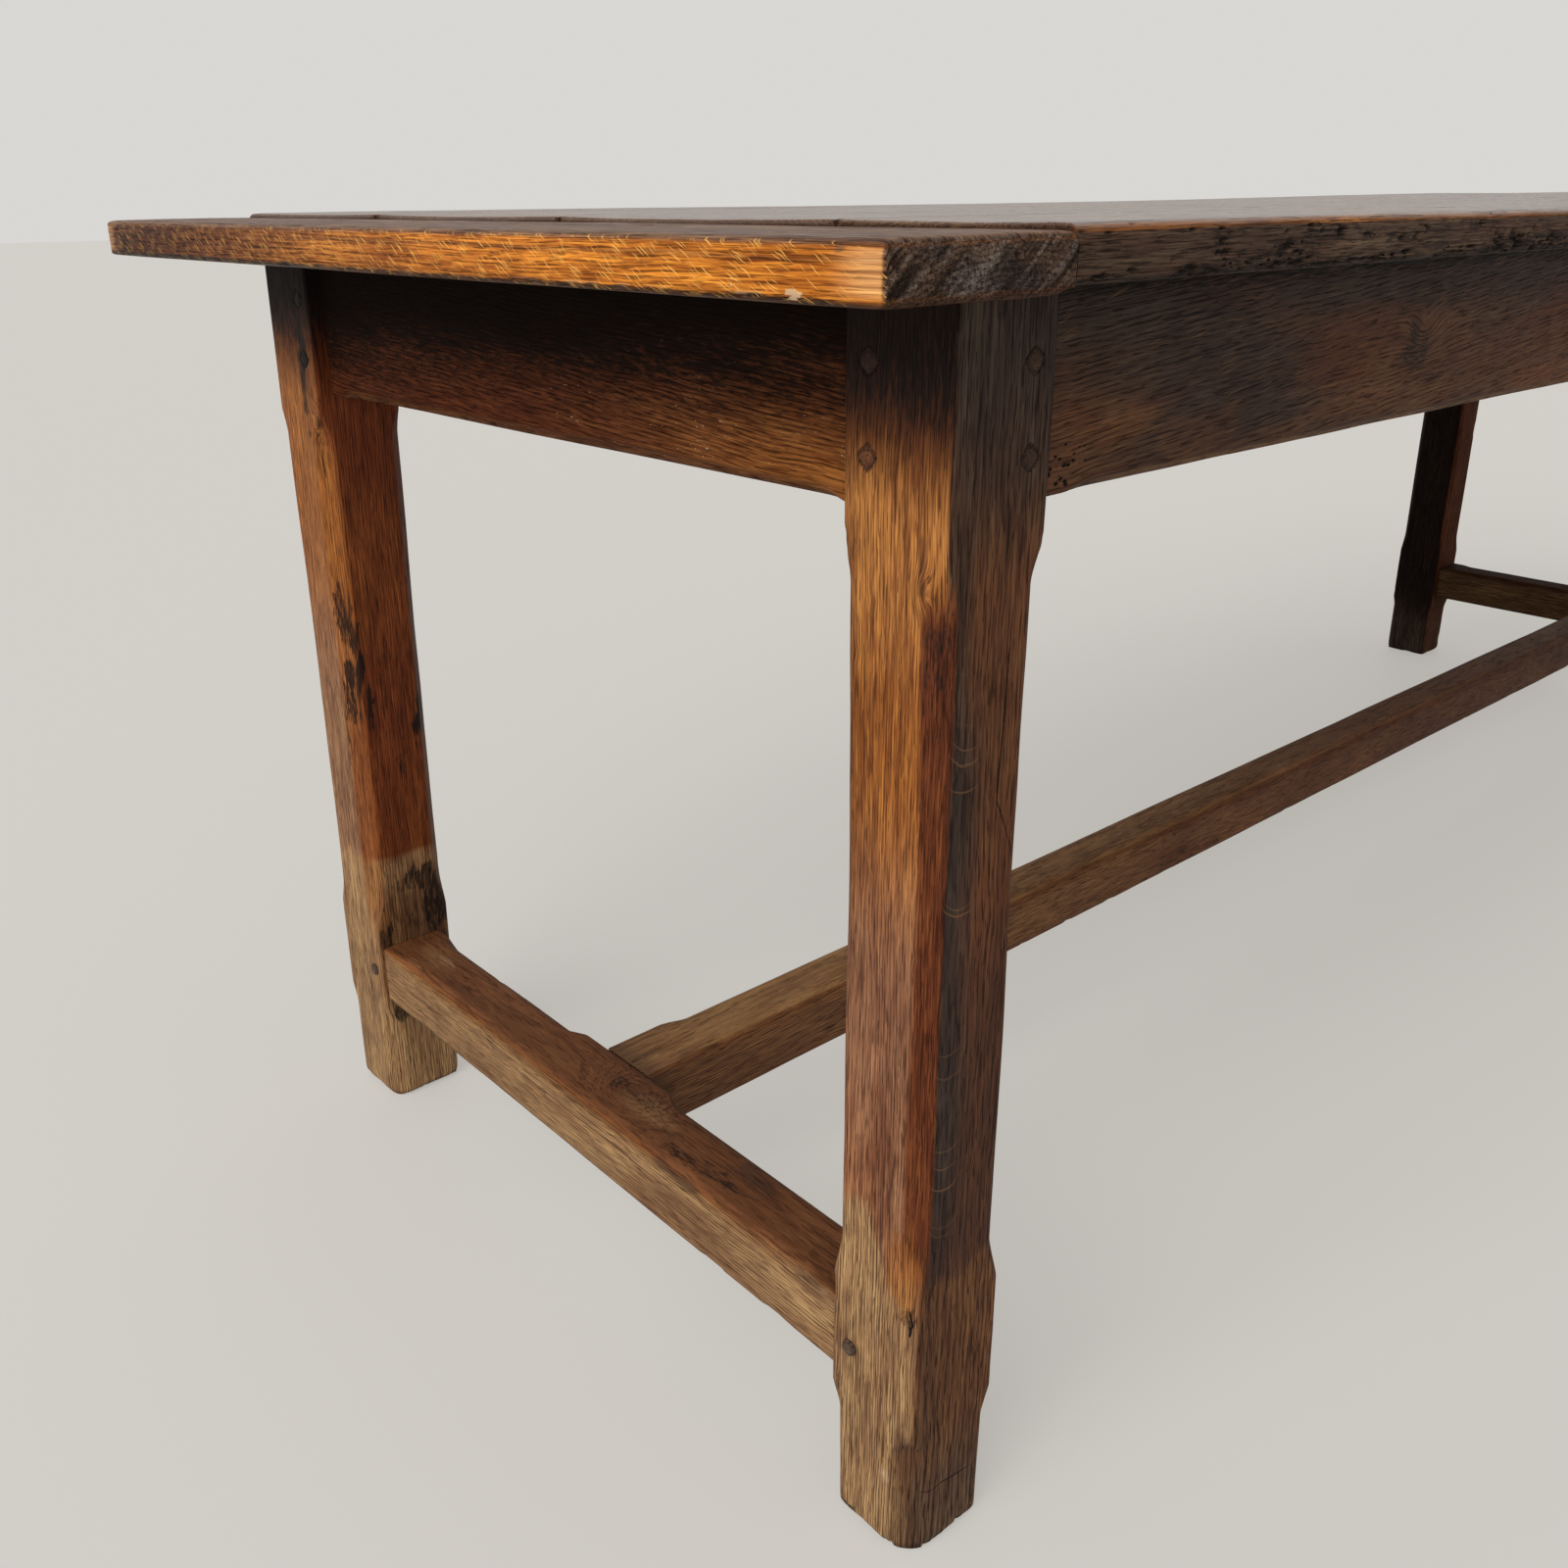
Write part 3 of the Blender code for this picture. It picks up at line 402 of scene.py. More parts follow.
    def grain(self, pith, lean, wave):
        """Places in the wood: along it, out from the pith and round it."""
        one = self.at(self.across[0]) - pith[0]
        two = self.at(self.across[1]) - pith[1]
        far = np.hypot(one, two)
        along = self.at(self.along)
        sway = 4 * self.noise(420, 90, 51, 2) + wave * self.noise(46, 30, 52, 2) + lean * along
        turn = np.arctan2(two, one) * far.mean()
        return np.stack([along + 130 * self.seed, far + sway + self.warp, turn], 1)

    def build(self, wood, pith, lean=0.0, wave=0.0, side_wood=None):
        """Makes the mesh, with its colours and marks, in the place of its CAD node.

        side_wood goes on every face that doesn't look up.
        """
        mesh = bpy.data.meshes.new(self.name)
        mesh.vertices.add(len(self.points))
        mesh.vertices.foreach_set("co", (self.points * MM).astype(np.float32).ravel())
        mesh.loops.add(self.quads.size)
        mesh.loops.foreach_set("vertex_index", self.quads.astype(np.int32).ravel())
        mesh.polygons.add(len(self.quads))
        starts = np.arange(0, self.quads.size, 4, dtype=np.int32)
        mesh.polygons.foreach_set("loop_start", starts)
        mesh.update(calc_edges=True)
        mesh.shade_smooth()
        mesh.set_sharp_from_angle(angle=self.SHARP_ANGLE)
        layers = {
            "grain": self.grain(pith, lean, wave) * MM,
            "marks": self.marks,
            "spots": self.spots,
            "rays": self.rays,
            "cracks": self.cracks,
        }
        for name, values in layers.items():
            layer = mesh.attributes.new(name, "FLOAT_VECTOR", "POINT")
            layer.data.foreach_set("vector", values.astype(np.float32).ravel())
        colour = np.ones((len(self.points), 4), np.float32)
        colour[:, :3] = np.clip(self.tint, 0, 1)
        layer = mesh.attributes.new("tint", "FLOAT_COLOR", "POINT")
        layer.data.foreach_set("color", colour.ravel())
        mesh.materials.append(OAK[wood])
        if side_wood:
            mesh.materials.append(OAK[side_wood])
            sides = (self.out[self.quads, Z].mean(1) < 0.5).astype(np.int32)
            mesh.polygons.foreach_set("material_index", sides)
        piece = add_object(self.name, mesh)
        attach(piece, "root")
        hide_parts(self.name)


# Materials


class Nodes:
    """Adds nodes to a material or a world. Each method gives back an output socket."""

    MIX_SHARE, MIX_FIRST, MIX_SECOND, MIX_COLOUR = 0, 6, 7, 2

    def __init__(self, owner):
        owner.use_nodes = True
        self.tree = owner.node_tree

    def put(self, socket, value):
        if isinstance(value, bpy.types.NodeSocket):
            self.tree.links.new(value, socket)
        else:
            socket.default_value = value

    def add(self, kind, values=(), output=0, **settings):
        """One node. values go to its inputs in order, or by name or number in a dict."""
        node = self.tree.nodes.new("ShaderNode" + kind)
        for setting, value in settings.items():
            setattr(node, setting, value)
        for place, value in values.items() if isinstance(values, dict) else enumerate(values):
            self.put(node.inputs[place], value)
        return node.outputs[output]

    def attribute(self, name):
        return self.add("Attribute", output="Vector", attribute_name=name)

    def parts(self, vector):
        return self.add("SeparateXYZ", [vector]).node.outputs

    def join(self, x, y, z):
        return self.add("CombineXYZ", (x, y, z))

    def math(self, operation, *values):
        return self.add("Math", values, operation=operation)

    def product(self, *values):
        total = values[0]
        for value in values[1:]:
            total = self.math("MULTIPLY", total, value)
        return total

    def sway(self, value, amount, middle=0.5, base=1.0):
        """A factor round base that follows a value round middle."""
        return self.math("MULTIPLY_ADD", self.math("SUBTRACT", value, middle), amount, base)

    def vector(self, operation, first, second):
        place = "Scale" if operation == "SCALE" else 1
        return self.add("VectorMath", {0: first, place: second}, operation=operation)

    def noise(self, vector, per_metre, detail=2.0, roughness=0.5):
        place = self.vector("MULTIPLY", vector, per_metre)
        values = {"Vector": place, "Scale": 1.0, "Detail": detail, "Roughness": roughness}
        return self.add("TexNoise", values, "Fac")

    def cells(self, vector, dimensions="3D"):
        values = {"Vector": vector, "Scale": 1.0}
        node = self.add("TexVoronoi", values, voronoi_dimensions=dimensions).node
        return node.outputs["Distance"], node.outputs["Color"]

    def step(self, value, start, end):
        values = (value, start, end, 0.0, 1.0)
        return self.add("MapRange", values, interpolation_type="SMOOTHSTEP")

    def mix(self, share, first, second):
        values = {self.MIX_SHARE: share, self.MIX_FIRST: first, self.MIX_SECOND: second}
        return self.add("Mix", values, self.MIX_COLOUR, data_type="RGBA")


def warm_scale(s, tint, level):
    """The tint made lighter or darker by level, redder as it darkens."""
    green = s.math("POWER", level, 1.25)
    blue = s.math("POWER", level, 1.2)
    return s.vector("MULTIPLY", tint, s.join(level, green, blue))


def broken_up(s, amount, noise_value, start, end):
    """1 where a noise and an amount together pass from start to end, if there is any."""
    total = s.math("ADD", amount, s.sway(noise_value, 1.5, 0.5, 0.0))
    return s.product(s.step(total, start, end), s.math("GREATER_THAN", amount, 0.03))


def spindles(s, place, long, wide, keep):
    """Scattered thin ovals: rays of the wood, cut through on a face."""
    u, v, strength = s.parts(place)
    bend = s.noise(s.join(u, v, 0.0), (45, 45, 1), 2.0)
    v = s.math("MULTIPLY_ADD", s.math("SUBTRACT", bend, 0.5), 7 * MM, v)
    cell = s.join(s.math("DIVIDE", u, long), s.math("DIVIDE", v, wide), 0.0)
    distance, colour = s.cells(cell, "2D")
    chance, size, bright = s.parts(colour)
    kept = s.math("GREATER_THAN", chance, 1 - keep)
    edge = s.math("MULTIPLY_ADD", size, 0.20, 0.16)
    oval = s.step(s.math("DIVIDE", distance, edge), 1.0, 0.45)
    return s.product(oval, kept, s.sway(bright, 0.8, 0.5, 0.75), strength)


def worm_holes(s, grain, holes, ragged):
    """1 inside small scattered holes, more of them where holes is high."""
    distance = s.cells(s.vector("MULTIPLY", grain, (170, 300, 300)))[0]
    reach = s.math("MULTIPLY_ADD", holes, 0.42, -0.04)
    edge = s.math("ADD", distance, s.sway(ragged, 0.35, 0.5, 0.0))
    pits = s.step(s.math("SUBTRACT", reach, edge), 0.0, 0.05)
    return s.product(pits, s.math("GREATER_THAN", holes, 0.05))


def splits(s, ragged):
    """1 inside the board's cracks."""
    offsets = [s.math("ABSOLUTE", part) for part in s.parts(s.attribute("cracks"))]
    nearest = s.math("MINIMUM", s.math("MINIMUM", offsets[0], offsets[1]), offsets[2])
    return s.step(s.math("ADD", nearest, s.sway(ragged, 1.6, 0.5, 0.0)), 1.25, 0.75)


def oak_material(name, ring, contrast, roughness, shine, relief, rays):
    """Old oak, from one row of WOODS."""
    material = bpy.data.materials.new(name)
    s = Nodes(material)
    surface = s.tree.nodes["Principled BSDF"].inputs
    grain = s.attribute("grain")
    tint = s.attribute("tint")
    matt, holes, openness = s.parts(s.attribute("marks"))
    grime_and_shade, bare, smooth = s.parts(s.attribute("spots"))
    along, out, around = s.parts(grain)

    wobble = s.noise(grain, (14, 70, 70), 3.0, 0.6)
    years = s.math("DIVIDE", s.math("MULTIPLY_ADD", wobble, 5.0 * MM, out), ring * MM)
    year = s.math("FRACT", years)
    spring = s.product(s.step(year, 0.0, 0.06), s.step(year, 0.50, 0.12))

    streaks = s.noise(grain, (9, 200, 200), 4.0, 0.62)
    strands = s.noise(grain, (28, 800, 800), 3.0, 0.7)
    veins = s.step(s.noise(grain, (22, 330, 330), 2.0, 0.6), 0.54, 0.68)
    cloud = s.noise(grain, (10, 30, 30), 3.0, 0.6)
    pore_start = s.sway(spring, -0.12, 0.0, 0.61)
    pore_end = s.math("ADD", pore_start, 0.06)
    pores = s.step(s.noise(grain, (60, 1050, 1050), 1.0), pore_start, pore_end)

    spring_depth = s.math("MULTIPLY_ADD", openness, -0.16, -0.22 * contrast)
    level = s.product(
        s.sway(streaks, 1.1 * contrast),
        s.sway(strands, 3.4 * contrast),
        s.sway(veins, -0.45 * contrast, 0.0),
        s.sway(cloud, 1.2),
        s.sway(spring, spring_depth, 0.25),
    )
    level = s.sway(level, s.sway(smooth, -0.75, 0.0), 1.0)
    colour = warm_scale(s, tint, s.math("MAXIMUM", level, 0.12))
    pore_depth = s.math("MULTIPLY_ADD", openness, 0.1, 0.66)
    pore_depth = s.product(pore_depth, s.sway(smooth, -0.8, 0.0))
    colour = s.mix(s.product(pores, pore_depth), colour, s.vector("SCALE", tint, 0.15))

    scratch_place = s.join(s.math("MULTIPLY_ADD", out, 0.7, along), out, around)
    scratches = s.step(s.noise(scratch_place, (30, 900, 60), 1.0), 0.755, 0.80)
    colour = s.mix(s.product(scratches, 0.3), colour, s.vector("SCALE", tint, 2.0))

    # Black grime, and painted shade under the top and at the far end, broken up along the
    # grain
    tar = broken_up(s, grime_and_shade, s.noise(grain, (100, 560, 560), 3.0, 0.7), 0.30, 0.74)
    colour = s.mix(s.product(tar, 0.93), colour, (*SOOT_AND_SHADE, 1.0))
    flakes = broken_up(s, bare, s.noise(grain, (260, 560, 560), 2.0), 0.42, 0.56)
    colour = s.mix(s.product(flakes, 0.8), colour, (*CHIP, 1.0))

    ray_long, ray_wide, ray_share, ray_colour = rays
    ray = spindles(s, s.attribute("rays"), ray_long * MM, ray_wide * MM, ray_share)
    colour = s.mix(ray, colour, (*ray_colour, 1.0))

    ragged = s.noise(grain, (500, 900, 900), 2.0)
    gap = s.math("MAXIMUM", worm_holes(s, grain, holes, ragged), splits(s, ragged))
    s.put(surface["Base Color"], s.mix(gap, colour, (*SOOT_AND_SHADE, 1.0)))

    dull = s.math("MAXIMUM", matt, gap)
    gloss = s.sway(streaks, 0.3, 0.5, roughness)
    gloss = s.math("ADD", gloss, s.math("MULTIPLY_ADD", dull, 0.4, s.product(pores, 0.15)))
    s.put(surface["Roughness"], gloss)
    s.put(surface["Specular IOR Level"], shine)

    height = s.math("MULTIPLY_ADD", pores, -0.7, s.product(strands, 0.7))
    spring_height = s.math("MULTIPLY_ADD", openness, -0.8, -0.2)
    for value, amount in ((spring, spring_height), (streaks, 0.9), (gap, -3.0), (ray, 0.15)):
        height = s.math("MULTIPLY_ADD", value, amount, height)
    bump = {"Strength": 0.7 * relief, "Distance": 0.4 * MM, "Height": height}
    s.put(surface["Normal"], s.add("Bump", bump))
    return material


# Pegs and their holes

# The power that makes a peg or its hole round
ROUND = 2.0

# Cuts across a peg, the depth of its head's fine cuts, and how far a board's fine cuts
# reach round a peg
PEG_CUTS = 15
PEG_HEAD = 4
PEG_MARGIN = 8

def corners_of(node):
    low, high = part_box(node)
    return np.array(low) / MM, np.array(high) / MM


def centre_of(node):
    low, high = corners_of(node)
    return (low + high) / 2


def recess(board, face, centre, half, depth, power):
    """Sinks a peg hole and says where it is. power 1 makes it a lozenge, 2 round."""
    first, second = face_axes(face)
    one = np.abs(board.at(first) - centre[first]) / half
    two = np.abs(board.at(second) - centre[second]) / half
    far = (one**power + two**power) ** (1 / power)
    far = far + 0.10 * board.noise(5, 4, 19, 2)
    inside = rise(far, 1.05, 0.95) * board.facing(*face, 0.5)
    board.sink(depth * inside)
    return inside


def peg_bands(pegs, step):
    """Fine stretches along each axis round some pegs, given as (name, axis)."""
    bands = {X: [], Y: [], Z: []}
    for peg, axis in pegs:
        for direction in face_axes((axis, 1)):
            at = centre_of(peg)[direction]
            bands[direction].append((at - PEG_MARGIN, at + PEG_MARGIN, step))
    return bands


def make_peg(name, face, look, power, half=None, turn=0.0, sunk=0.0):
    """A cleft peg, seen by its head. look is its colour, sunk how low its head lies."""
    axis, sign = face
    low, high = corners_of(name)
    middle = (low + high) / 2
    first, second = face_axes(face)
    half = (high - low)[first] / 2 if half is None else half
    length = (high - low)[axis] - sunk
    middle[axis] -= sign * sunk / 2
    places = [None, None, None]
    places[first] = places[second] = np.linspace(-half, half, PEG_CUTS)
    head = sorted((sign * length / 2, sign * (length / 2 - PEG_HEAD)))
    places[axis] = cuts(-length / 2, length / 2, 8, fine=[(*head, 0.7)])
    seed = 3 + int(abs(middle).sum()) % 17
    peg = Board(name, places, axis, seed, 1.5)
    one, two = peg.points[:, first] / half, peg.points[:, second] / half
    size = np.maximum(np.abs(one), np.abs(two))
    reach = (np.abs(one) ** power + np.abs(two) ** power) ** (1 / power)
    taper = 1 - 0.10 * rise(peg.inset(axis, sign), 1.5, 0.0)
    shrink = size / np.maximum(reach, 1e-9) * taper
    shrink *= 1 + 0.05 * peg.noise(LONG, 5, 8, 2)
    one, two = one * shrink, two * shrink
    rim = rise(size, 0.55, 1.0) * peg.facing(axis, sign, 0.5)
    rough = 0.35 * (1 + peg.noise(LONG, 3.5, 3, 2))
    peg.points[:, first] = (one * math.cos(turn) - two * math.sin(turn)) * half
    peg.points[:, second] = (one * math.sin(turn) + two * math.cos(turn)) * half
    peg.points[:, axis] -= sign * peg.facing(axis, sign, 0.5) * (0.5 * rim + rough)
    peg.points += middle
    peg.tint[:] = look
    peg.paint(SOOT_AND_SHADE, 0.55 * rim)
    peg.shade(1 + 0.45 * peg.noise(LONG, 4, 31, 2))
    peg.grime_and_shade(0.22 + 0.15 * rim)
    peg.marks[:, MATT] = 0.3
    peg.build("pegs", (20, 30))


# Shapes that several boards share

SHOULDER_GAP = 0.3

# Width and softness of the chamfer that stands for a rounded arris, as shares of its radius
ROUND_SHARE = 0.586
SOFT_SHARE = 0.45


def between(node, axis, first, second):
    """A node's corners, without its tenons: along an axis it fills the gap between two."""
    low, high = corners_of(node)
    low[axis] = corners_of(first)[1][axis] + SHOULDER_GAP
    high[axis] = corners_of(second)[0][axis] - SHOULDER_GAP
    return low, high


def worn_long_arrises(board, radius):
    """Rounds the four arrises along the grain, more in some stretches than others."""
    first, second = board.across
    for number, (one, two) in enumerate(itertools.product((-1, 1), repeat=2)):
        width = ROUND_SHARE * radius * (1 + 0.4 * board.noise(60, LONG, 61 + number, 3))
        board.carve((first, one), (second, two), width, SOFT_SHARE * radius)


def age_rail(board, length):
    """The slow waves, fine ridges and dents of an old hand-planed rail."""
    board.sink(0.5 * (1 + board.noise(length, 40, 1, 2)))
    board.sink(0.18 * (1 + board.noise(64, 3.5, 2, 2)))
    board.sink(0.8 * rise(board.noise(17, 9, 3), 0.64, 0.9))


# Legs

# A peg hole's half width and power, and its peg's power and half width
APRON_HOLE, APRON_PEG = (6.9, 1.3), (1.35, 6.5)
STRETCHER_HOLE, STRETCHER_PEG = (5.3, 2.2), (2.4, 4.8)
STRETCHER_PEG_TURN = math.radians(22)
APRON_PEG_SUNK = 0.5
LEG_HOLE_DEPTH = 0.9

# Heights between which a leg's chamfers start, stop or turn, so its net is finer there
LEG_TURNS = ((0, 12), (72, 112), (158, 218), (590, 640))

# Widths of the chamfers on a leg's end face and side face. A corner is named by the
# leg's side and by whether it looks out along the table and out across it.
COMMON_CHAMFER = (9.0, 10.0)
COMMON_FOOT_CHAMFER = 9.0
FOOT_CHAMFERS = {(-1, True, True): 18.0, (1, True, False): 14.0}
CHAMFER_WIDTHS = {
    (-1, True, True): (13.0, 7.0),
    (-1, True, False): (7.5, 9.0),
    (1, True, False): (17.0, 10.5),
}

# Colours of the pegs' heads that differ from the rest
PEG_LOOKS = {
    "peg_front_left_end_upper": COFFEE,
    "peg_front_left_end_lower": BROWN,
    "peg_back_left_end_upper": SOOT_AND_SHADE,
    "peg_back_left_end_lower": SOOT_AND_SHADE,
}

# Tar on the back left leg's inner face and end face, by strength, place and half size
INNER_TAR = (
    (0.60, (4, 470), (10, 20)),
    (0.66, (5, 447), (9, 24)),
    (0.85, (9, 411), (10, 20)),
    (0.75, (17, 381), (5, 24)),
    (0.60, (2, 395), (7, 26)),
    (0.90, (64, 366), (11, 26)),
    (0.40, (30, 400), (6, 26)),
    (0.42, (48, 300), (5, 24)),
    (0.40, (42, 345), (6, 40)),
    (0.50, (39, 322), (6, 14)),
    (0.42, (35, 425), (9, 22)),
    (0.66, (50, 214), (24, 15)),
    (0.62, (60, 180), (18, 36)),
    (0.46, (30, 180), (28, 34)),
    (0.60, (8, 165), (11, 28)),
    (0.64, (28, 90), (28, 16)),
)
END_TAR = (
    (0.80, (19, 668), (8, 26)),
    (0.62, (22, 640), (7, 32)),
    (0.62, (7, 455), (10, 34)),
    (0.75, (6, 413), (10, 22)),
    (0.66, (9, 388), (8, 24)),
    (0.42, (16, 372), (6, 30)),
    (0.45, (27, 98), (5, 28)),
)
TAR_RAGGED = 1.0


def make_leg(side, end, coarse):
    name = f"leg_{side}_{end}"
    low, high = corners_of(name)
    middle = centre_of(name)
    out_x, out_y = OUTWARD[end], OUTWARD[side]
    pegs = {f"peg_{side}_{end}_end_{level}": (X, out_x) for level in ("upper", "lower")}
    pegs |= {f"peg_{side}_{end}_side_{level}": (Y, out_y) for level in ("upper", "lower")}
    pegs[f"peg_{side}_{end}_stretcher"] = (X, out_x)
    bands = peg_bands([(peg, face[0]) for peg, face in pegs.items()], 0.8 * coarse)
    bands[Z] += [(*turn, 2.0 * coarse) for turn in LEG_TURNS]
    across = (2.2 * coarse, 15, 1.3 * coarse)
    places = net(low, high, [across, across, (3.0 * coarse,)], bands)
    leg = Board(name, places, Z, 11 + 3 * out_x + 5 * out_y)
    shape_leg(leg, out_x, out_y)
    holes = np.zeros(len(leg.points))
    for peg, face in pegs.items():
        half, power = STRETCHER_HOLE if "stretcher" in peg else APRON_HOLE
        hole = recess(leg, face, centre_of(peg), half, LEG_HOLE_DEPTH, power)
        holes = np.maximum(holes, hole)

    blotch = leg.noise(120, 40, 31, 3)
    if end == "right":
        colour_far_leg(leg, blotch)
    elif side == "front":
        colour_near_leg(leg, blotch)
    else:
        colour_back_leg(leg, blotch)
    leg.shade(1 + 0.2 * blotch)
    leg.paint(SOOT_AND_SHADE, 0.85 * holes)
    leg.paint(SOOT_AND_SHADE, 0.5 * rise(leg.at(Z), 6, 0))
    pith = (middle[X] + 55 * out_x, middle[Y] - 75 * out_y)
    leg.build("dark" if end == "right" else "legs", pith, wave=1.2)
    for peg, face in pegs.items():
        if "stretcher" in peg:
            make_peg(peg, face, GREY_BROWN, *STRETCHER_PEG, STRETCHER_PEG_TURN)
        else:
            look = PEG_LOOKS.get(peg, UMBER)
            make_peg(peg, face, look, *APRON_PEG, sunk=APRON_PEG_SUNK)


def shape_leg(leg, out_x, out_y):
    """Carves the stopped chamfers, the worn foot and the dents of use."""
    z = leg.at(Z)
    wander = 1 + 0.14 * leg.noise(90, LONG, 5, 2)
    belly = 1 + 0.25 * (rise(z, 600, 420) - 0.5) * rise(z, 200, 300)
    foot = rise(z, 105, 78)
    upper = stopped(z, 172, 632, 40, 30)
    for x, y in itertools.product((-1, 1), repeat=2):
        place = (out_y, x == out_x, y == out_y)
        on_end, on_side = CHAMFER_WIDTHS.get(place, COMMON_CHAMFER)
        foot_width = FOOT_CHAMFERS.get(place, COMMON_FOOT_CHAMFER)
        on_end = (foot_width * foot + on_end * upper * belly) * wander
        on_side = (foot_width * foot + on_side * upper) * wander
        block = 1.5 * (1 + 0.4 * leg.noise(40, LONG, 9 + x + 2 * y, 2))
        on_end = np.maximum(on_end, block)
        on_side = np.maximum(on_side, block)
        leg.carve((X, x), (Y, y), on_side, 1.0, on_end)
    foot_wear = 4.2 * (1 + 0.5 * leg.noise(LONG, 12, 21, 2))
    for face in itertools.product((X, Y), (-1, 1)):
        leg.carve(face, UNDER, foot_wear, 2.0)
    leg.sink(0.45 * (1 + leg.noise(180, 45, 1, 2)))
    leg.sink(0.16 * (1 + leg.noise(60, 4, 2, 2)))
    leg.sink(0.9 * rise(leg.noise(14, 9, 3), 0.62, 0.9))
    leg.sink(1.6 * rise(z, 14, 2) * rise(leg.noise(9, 6, 4, 2), 0.05, 0.6))


def colour_near_leg(leg, blotch):
    """The leg nearest the camera: gold at the end, slate and painted shade at the side,
    bleached below, painted shadow under the top.
    """
    end, side = (X, -1), (Y, -1)
    x, y, z = (leg.at(axis) - leg.low[axis] for axis in (X, Y, Z))
    end_face = leg.facing(*end, 0.6)
    side_face = leg.facing(*side, 0.6)
    corner = rise(x / 7 + y / 13 + 0.2 * leg.noise(60, 9, 34, 2), 1.3, 0.85)
    chamfer = corner * stopped(z, 200, 620, 50, 40)
    tide = z + 10 * blotch
    leg.tint[:] = BROWN
    leg.paint(ORANGE, end_face)
    leg.paint(HONEY, 0.6 * end_face * rise(tide, 530, 600) * rise(tide, 690, 640))
    leg.paint(ROSE, 0.85 * end_face * rise(tide, 510, 390))
    leg.paint(RUSSET, 0.5 * end_face * rise(blotch, 0.0, 0.5) * rise(tide, 600, 500))
    leg.stain(
        end,
        (BROWN, 0.55, (64, 500), (6, 190)),
        (RED_BROWN, 0.6, (22, 680), (5, 45)),
        (BROWN, 0.6, (17, 620), (3, 18)),
        (RED_BROWN, 0.55, (32, 285), (11, 50), 0.8),
    )
    # Painted shade: the side face, turned away from the key light, is painted darker than the
    # end face
    leg.paint(UMBER, side_face)
    red_side = side_face * rise(z, 660, 600) * rise(x + 6 * blotch, 12, 24)
    leg.paint(BROWN, 0.85 * red_side * rise(z, 360, 460))
    leg.paint(RED_BROWN, 0.4 * red_side * rise(z, 520, 440))
    slate = rise(x + 6 * blotch, 38, 18) * stopped(z, 200, 600, 80, 100)
    leg.paint(SLATE, 0.65 * side_face * slate)
    leg.paint(RUSSET, 0.9 * chamfer)
    leg.paint(RED_BROWN, 0.8 * chamfer)
    leg.paint(RED_BROWN, 0.75 * chamfer * rise(z + 20 * blotch, 460, 580))
    leg.grime_and_shade(chamfer * (0.22 + 0.3 * rise(z, 500, 600)) * (1 + 0.3 * blotch))

    line = 245 - 38 * rise(y, 48, 22) + 12 * leg.noise(50, 12, 33, 3)
    bleach = rise(z, line + 6, line - 8)
    leg.paint(BLEACHED, 0.9 * bleach * (1 - 0.7 * side_face))
    leg.paint(BROWN, 0.55 * bleach * side_face)
    leg.paint(GREY_BROWN, 0.6 * side_face * rise(tide, 100, 30))
    leg.stain(
        end,
        (ORANGE, 0.65, (15, 212), (15, 32), 0.6),
        (HONEY, 0.25, (12, 205), (9, 22), 0.6),
        (BROWN, 0.55, (6, 60), (12, 40)),
    )
    leg.smear(
        end,
        (0.52, (8, 181), (8, 14), 1.0),
        (0.42, (66, 70), (5, 60), 0.8),
        (0.6, (56, 4), (15, 6), 0.8),
        (0.5, (30, 2), (22, 3), 0.8),
    )
    leg.knot(end, (16, 607), 3.0, 0.6)
    leg.stain(end, (CHIP, 0.35, (21, 57), (4, 4), 0.9))
    leg.stain(
        side,
        (GREY_BROWN, 0.6, (55, 666), (6, 13), 1.0),
        (GREY_BROWN, 0.5, (9, 725), (8, 4), 0.3),
    )
    foot = rise(x + y + 5 * leg.noise(30, 9, 35, 2), 25, 12)
    leg.paint(UMBER, 0.45 * foot * rise(z + 30 * blotch, 140, 60))

    # Painted shadow of the overhanging top, with black grime: the end face goes black near the
    # top, the side face slate
    top = rise(z + 14 * blotch, 640, 715)
    leg.paint(RED_BROWN, 0.9 * end_face * rise(z + 20 * blotch, 640, 700))
    leg.paint(SOOT_AND_SHADE, 0.85 * top * end_face)
    leg.grime_and_shade(0.62 * top * end_face)
    leg.paint(SLATE, 0.6 * top * side_face)
    leg.marks[:, MATT] = 0.25 * bleach + 0.7 * top * end_face + 0.25 * side_face
    leg.marks[:, OPEN] = bleach
    leg.arcs(side, leg.low[X] + 20, 0.034, 0.42 * slate)
    leg.crack(side, [(48, 592), (46, 534), (44, 494), (50, 482), (58, 462)], 1.0)
    leg.crack(side, [(56, 44), (26, 50), (7, 48)], 0.9)
    leg.crack(end, [(8, 194), (5, 184), (7, 172)], 2.2)


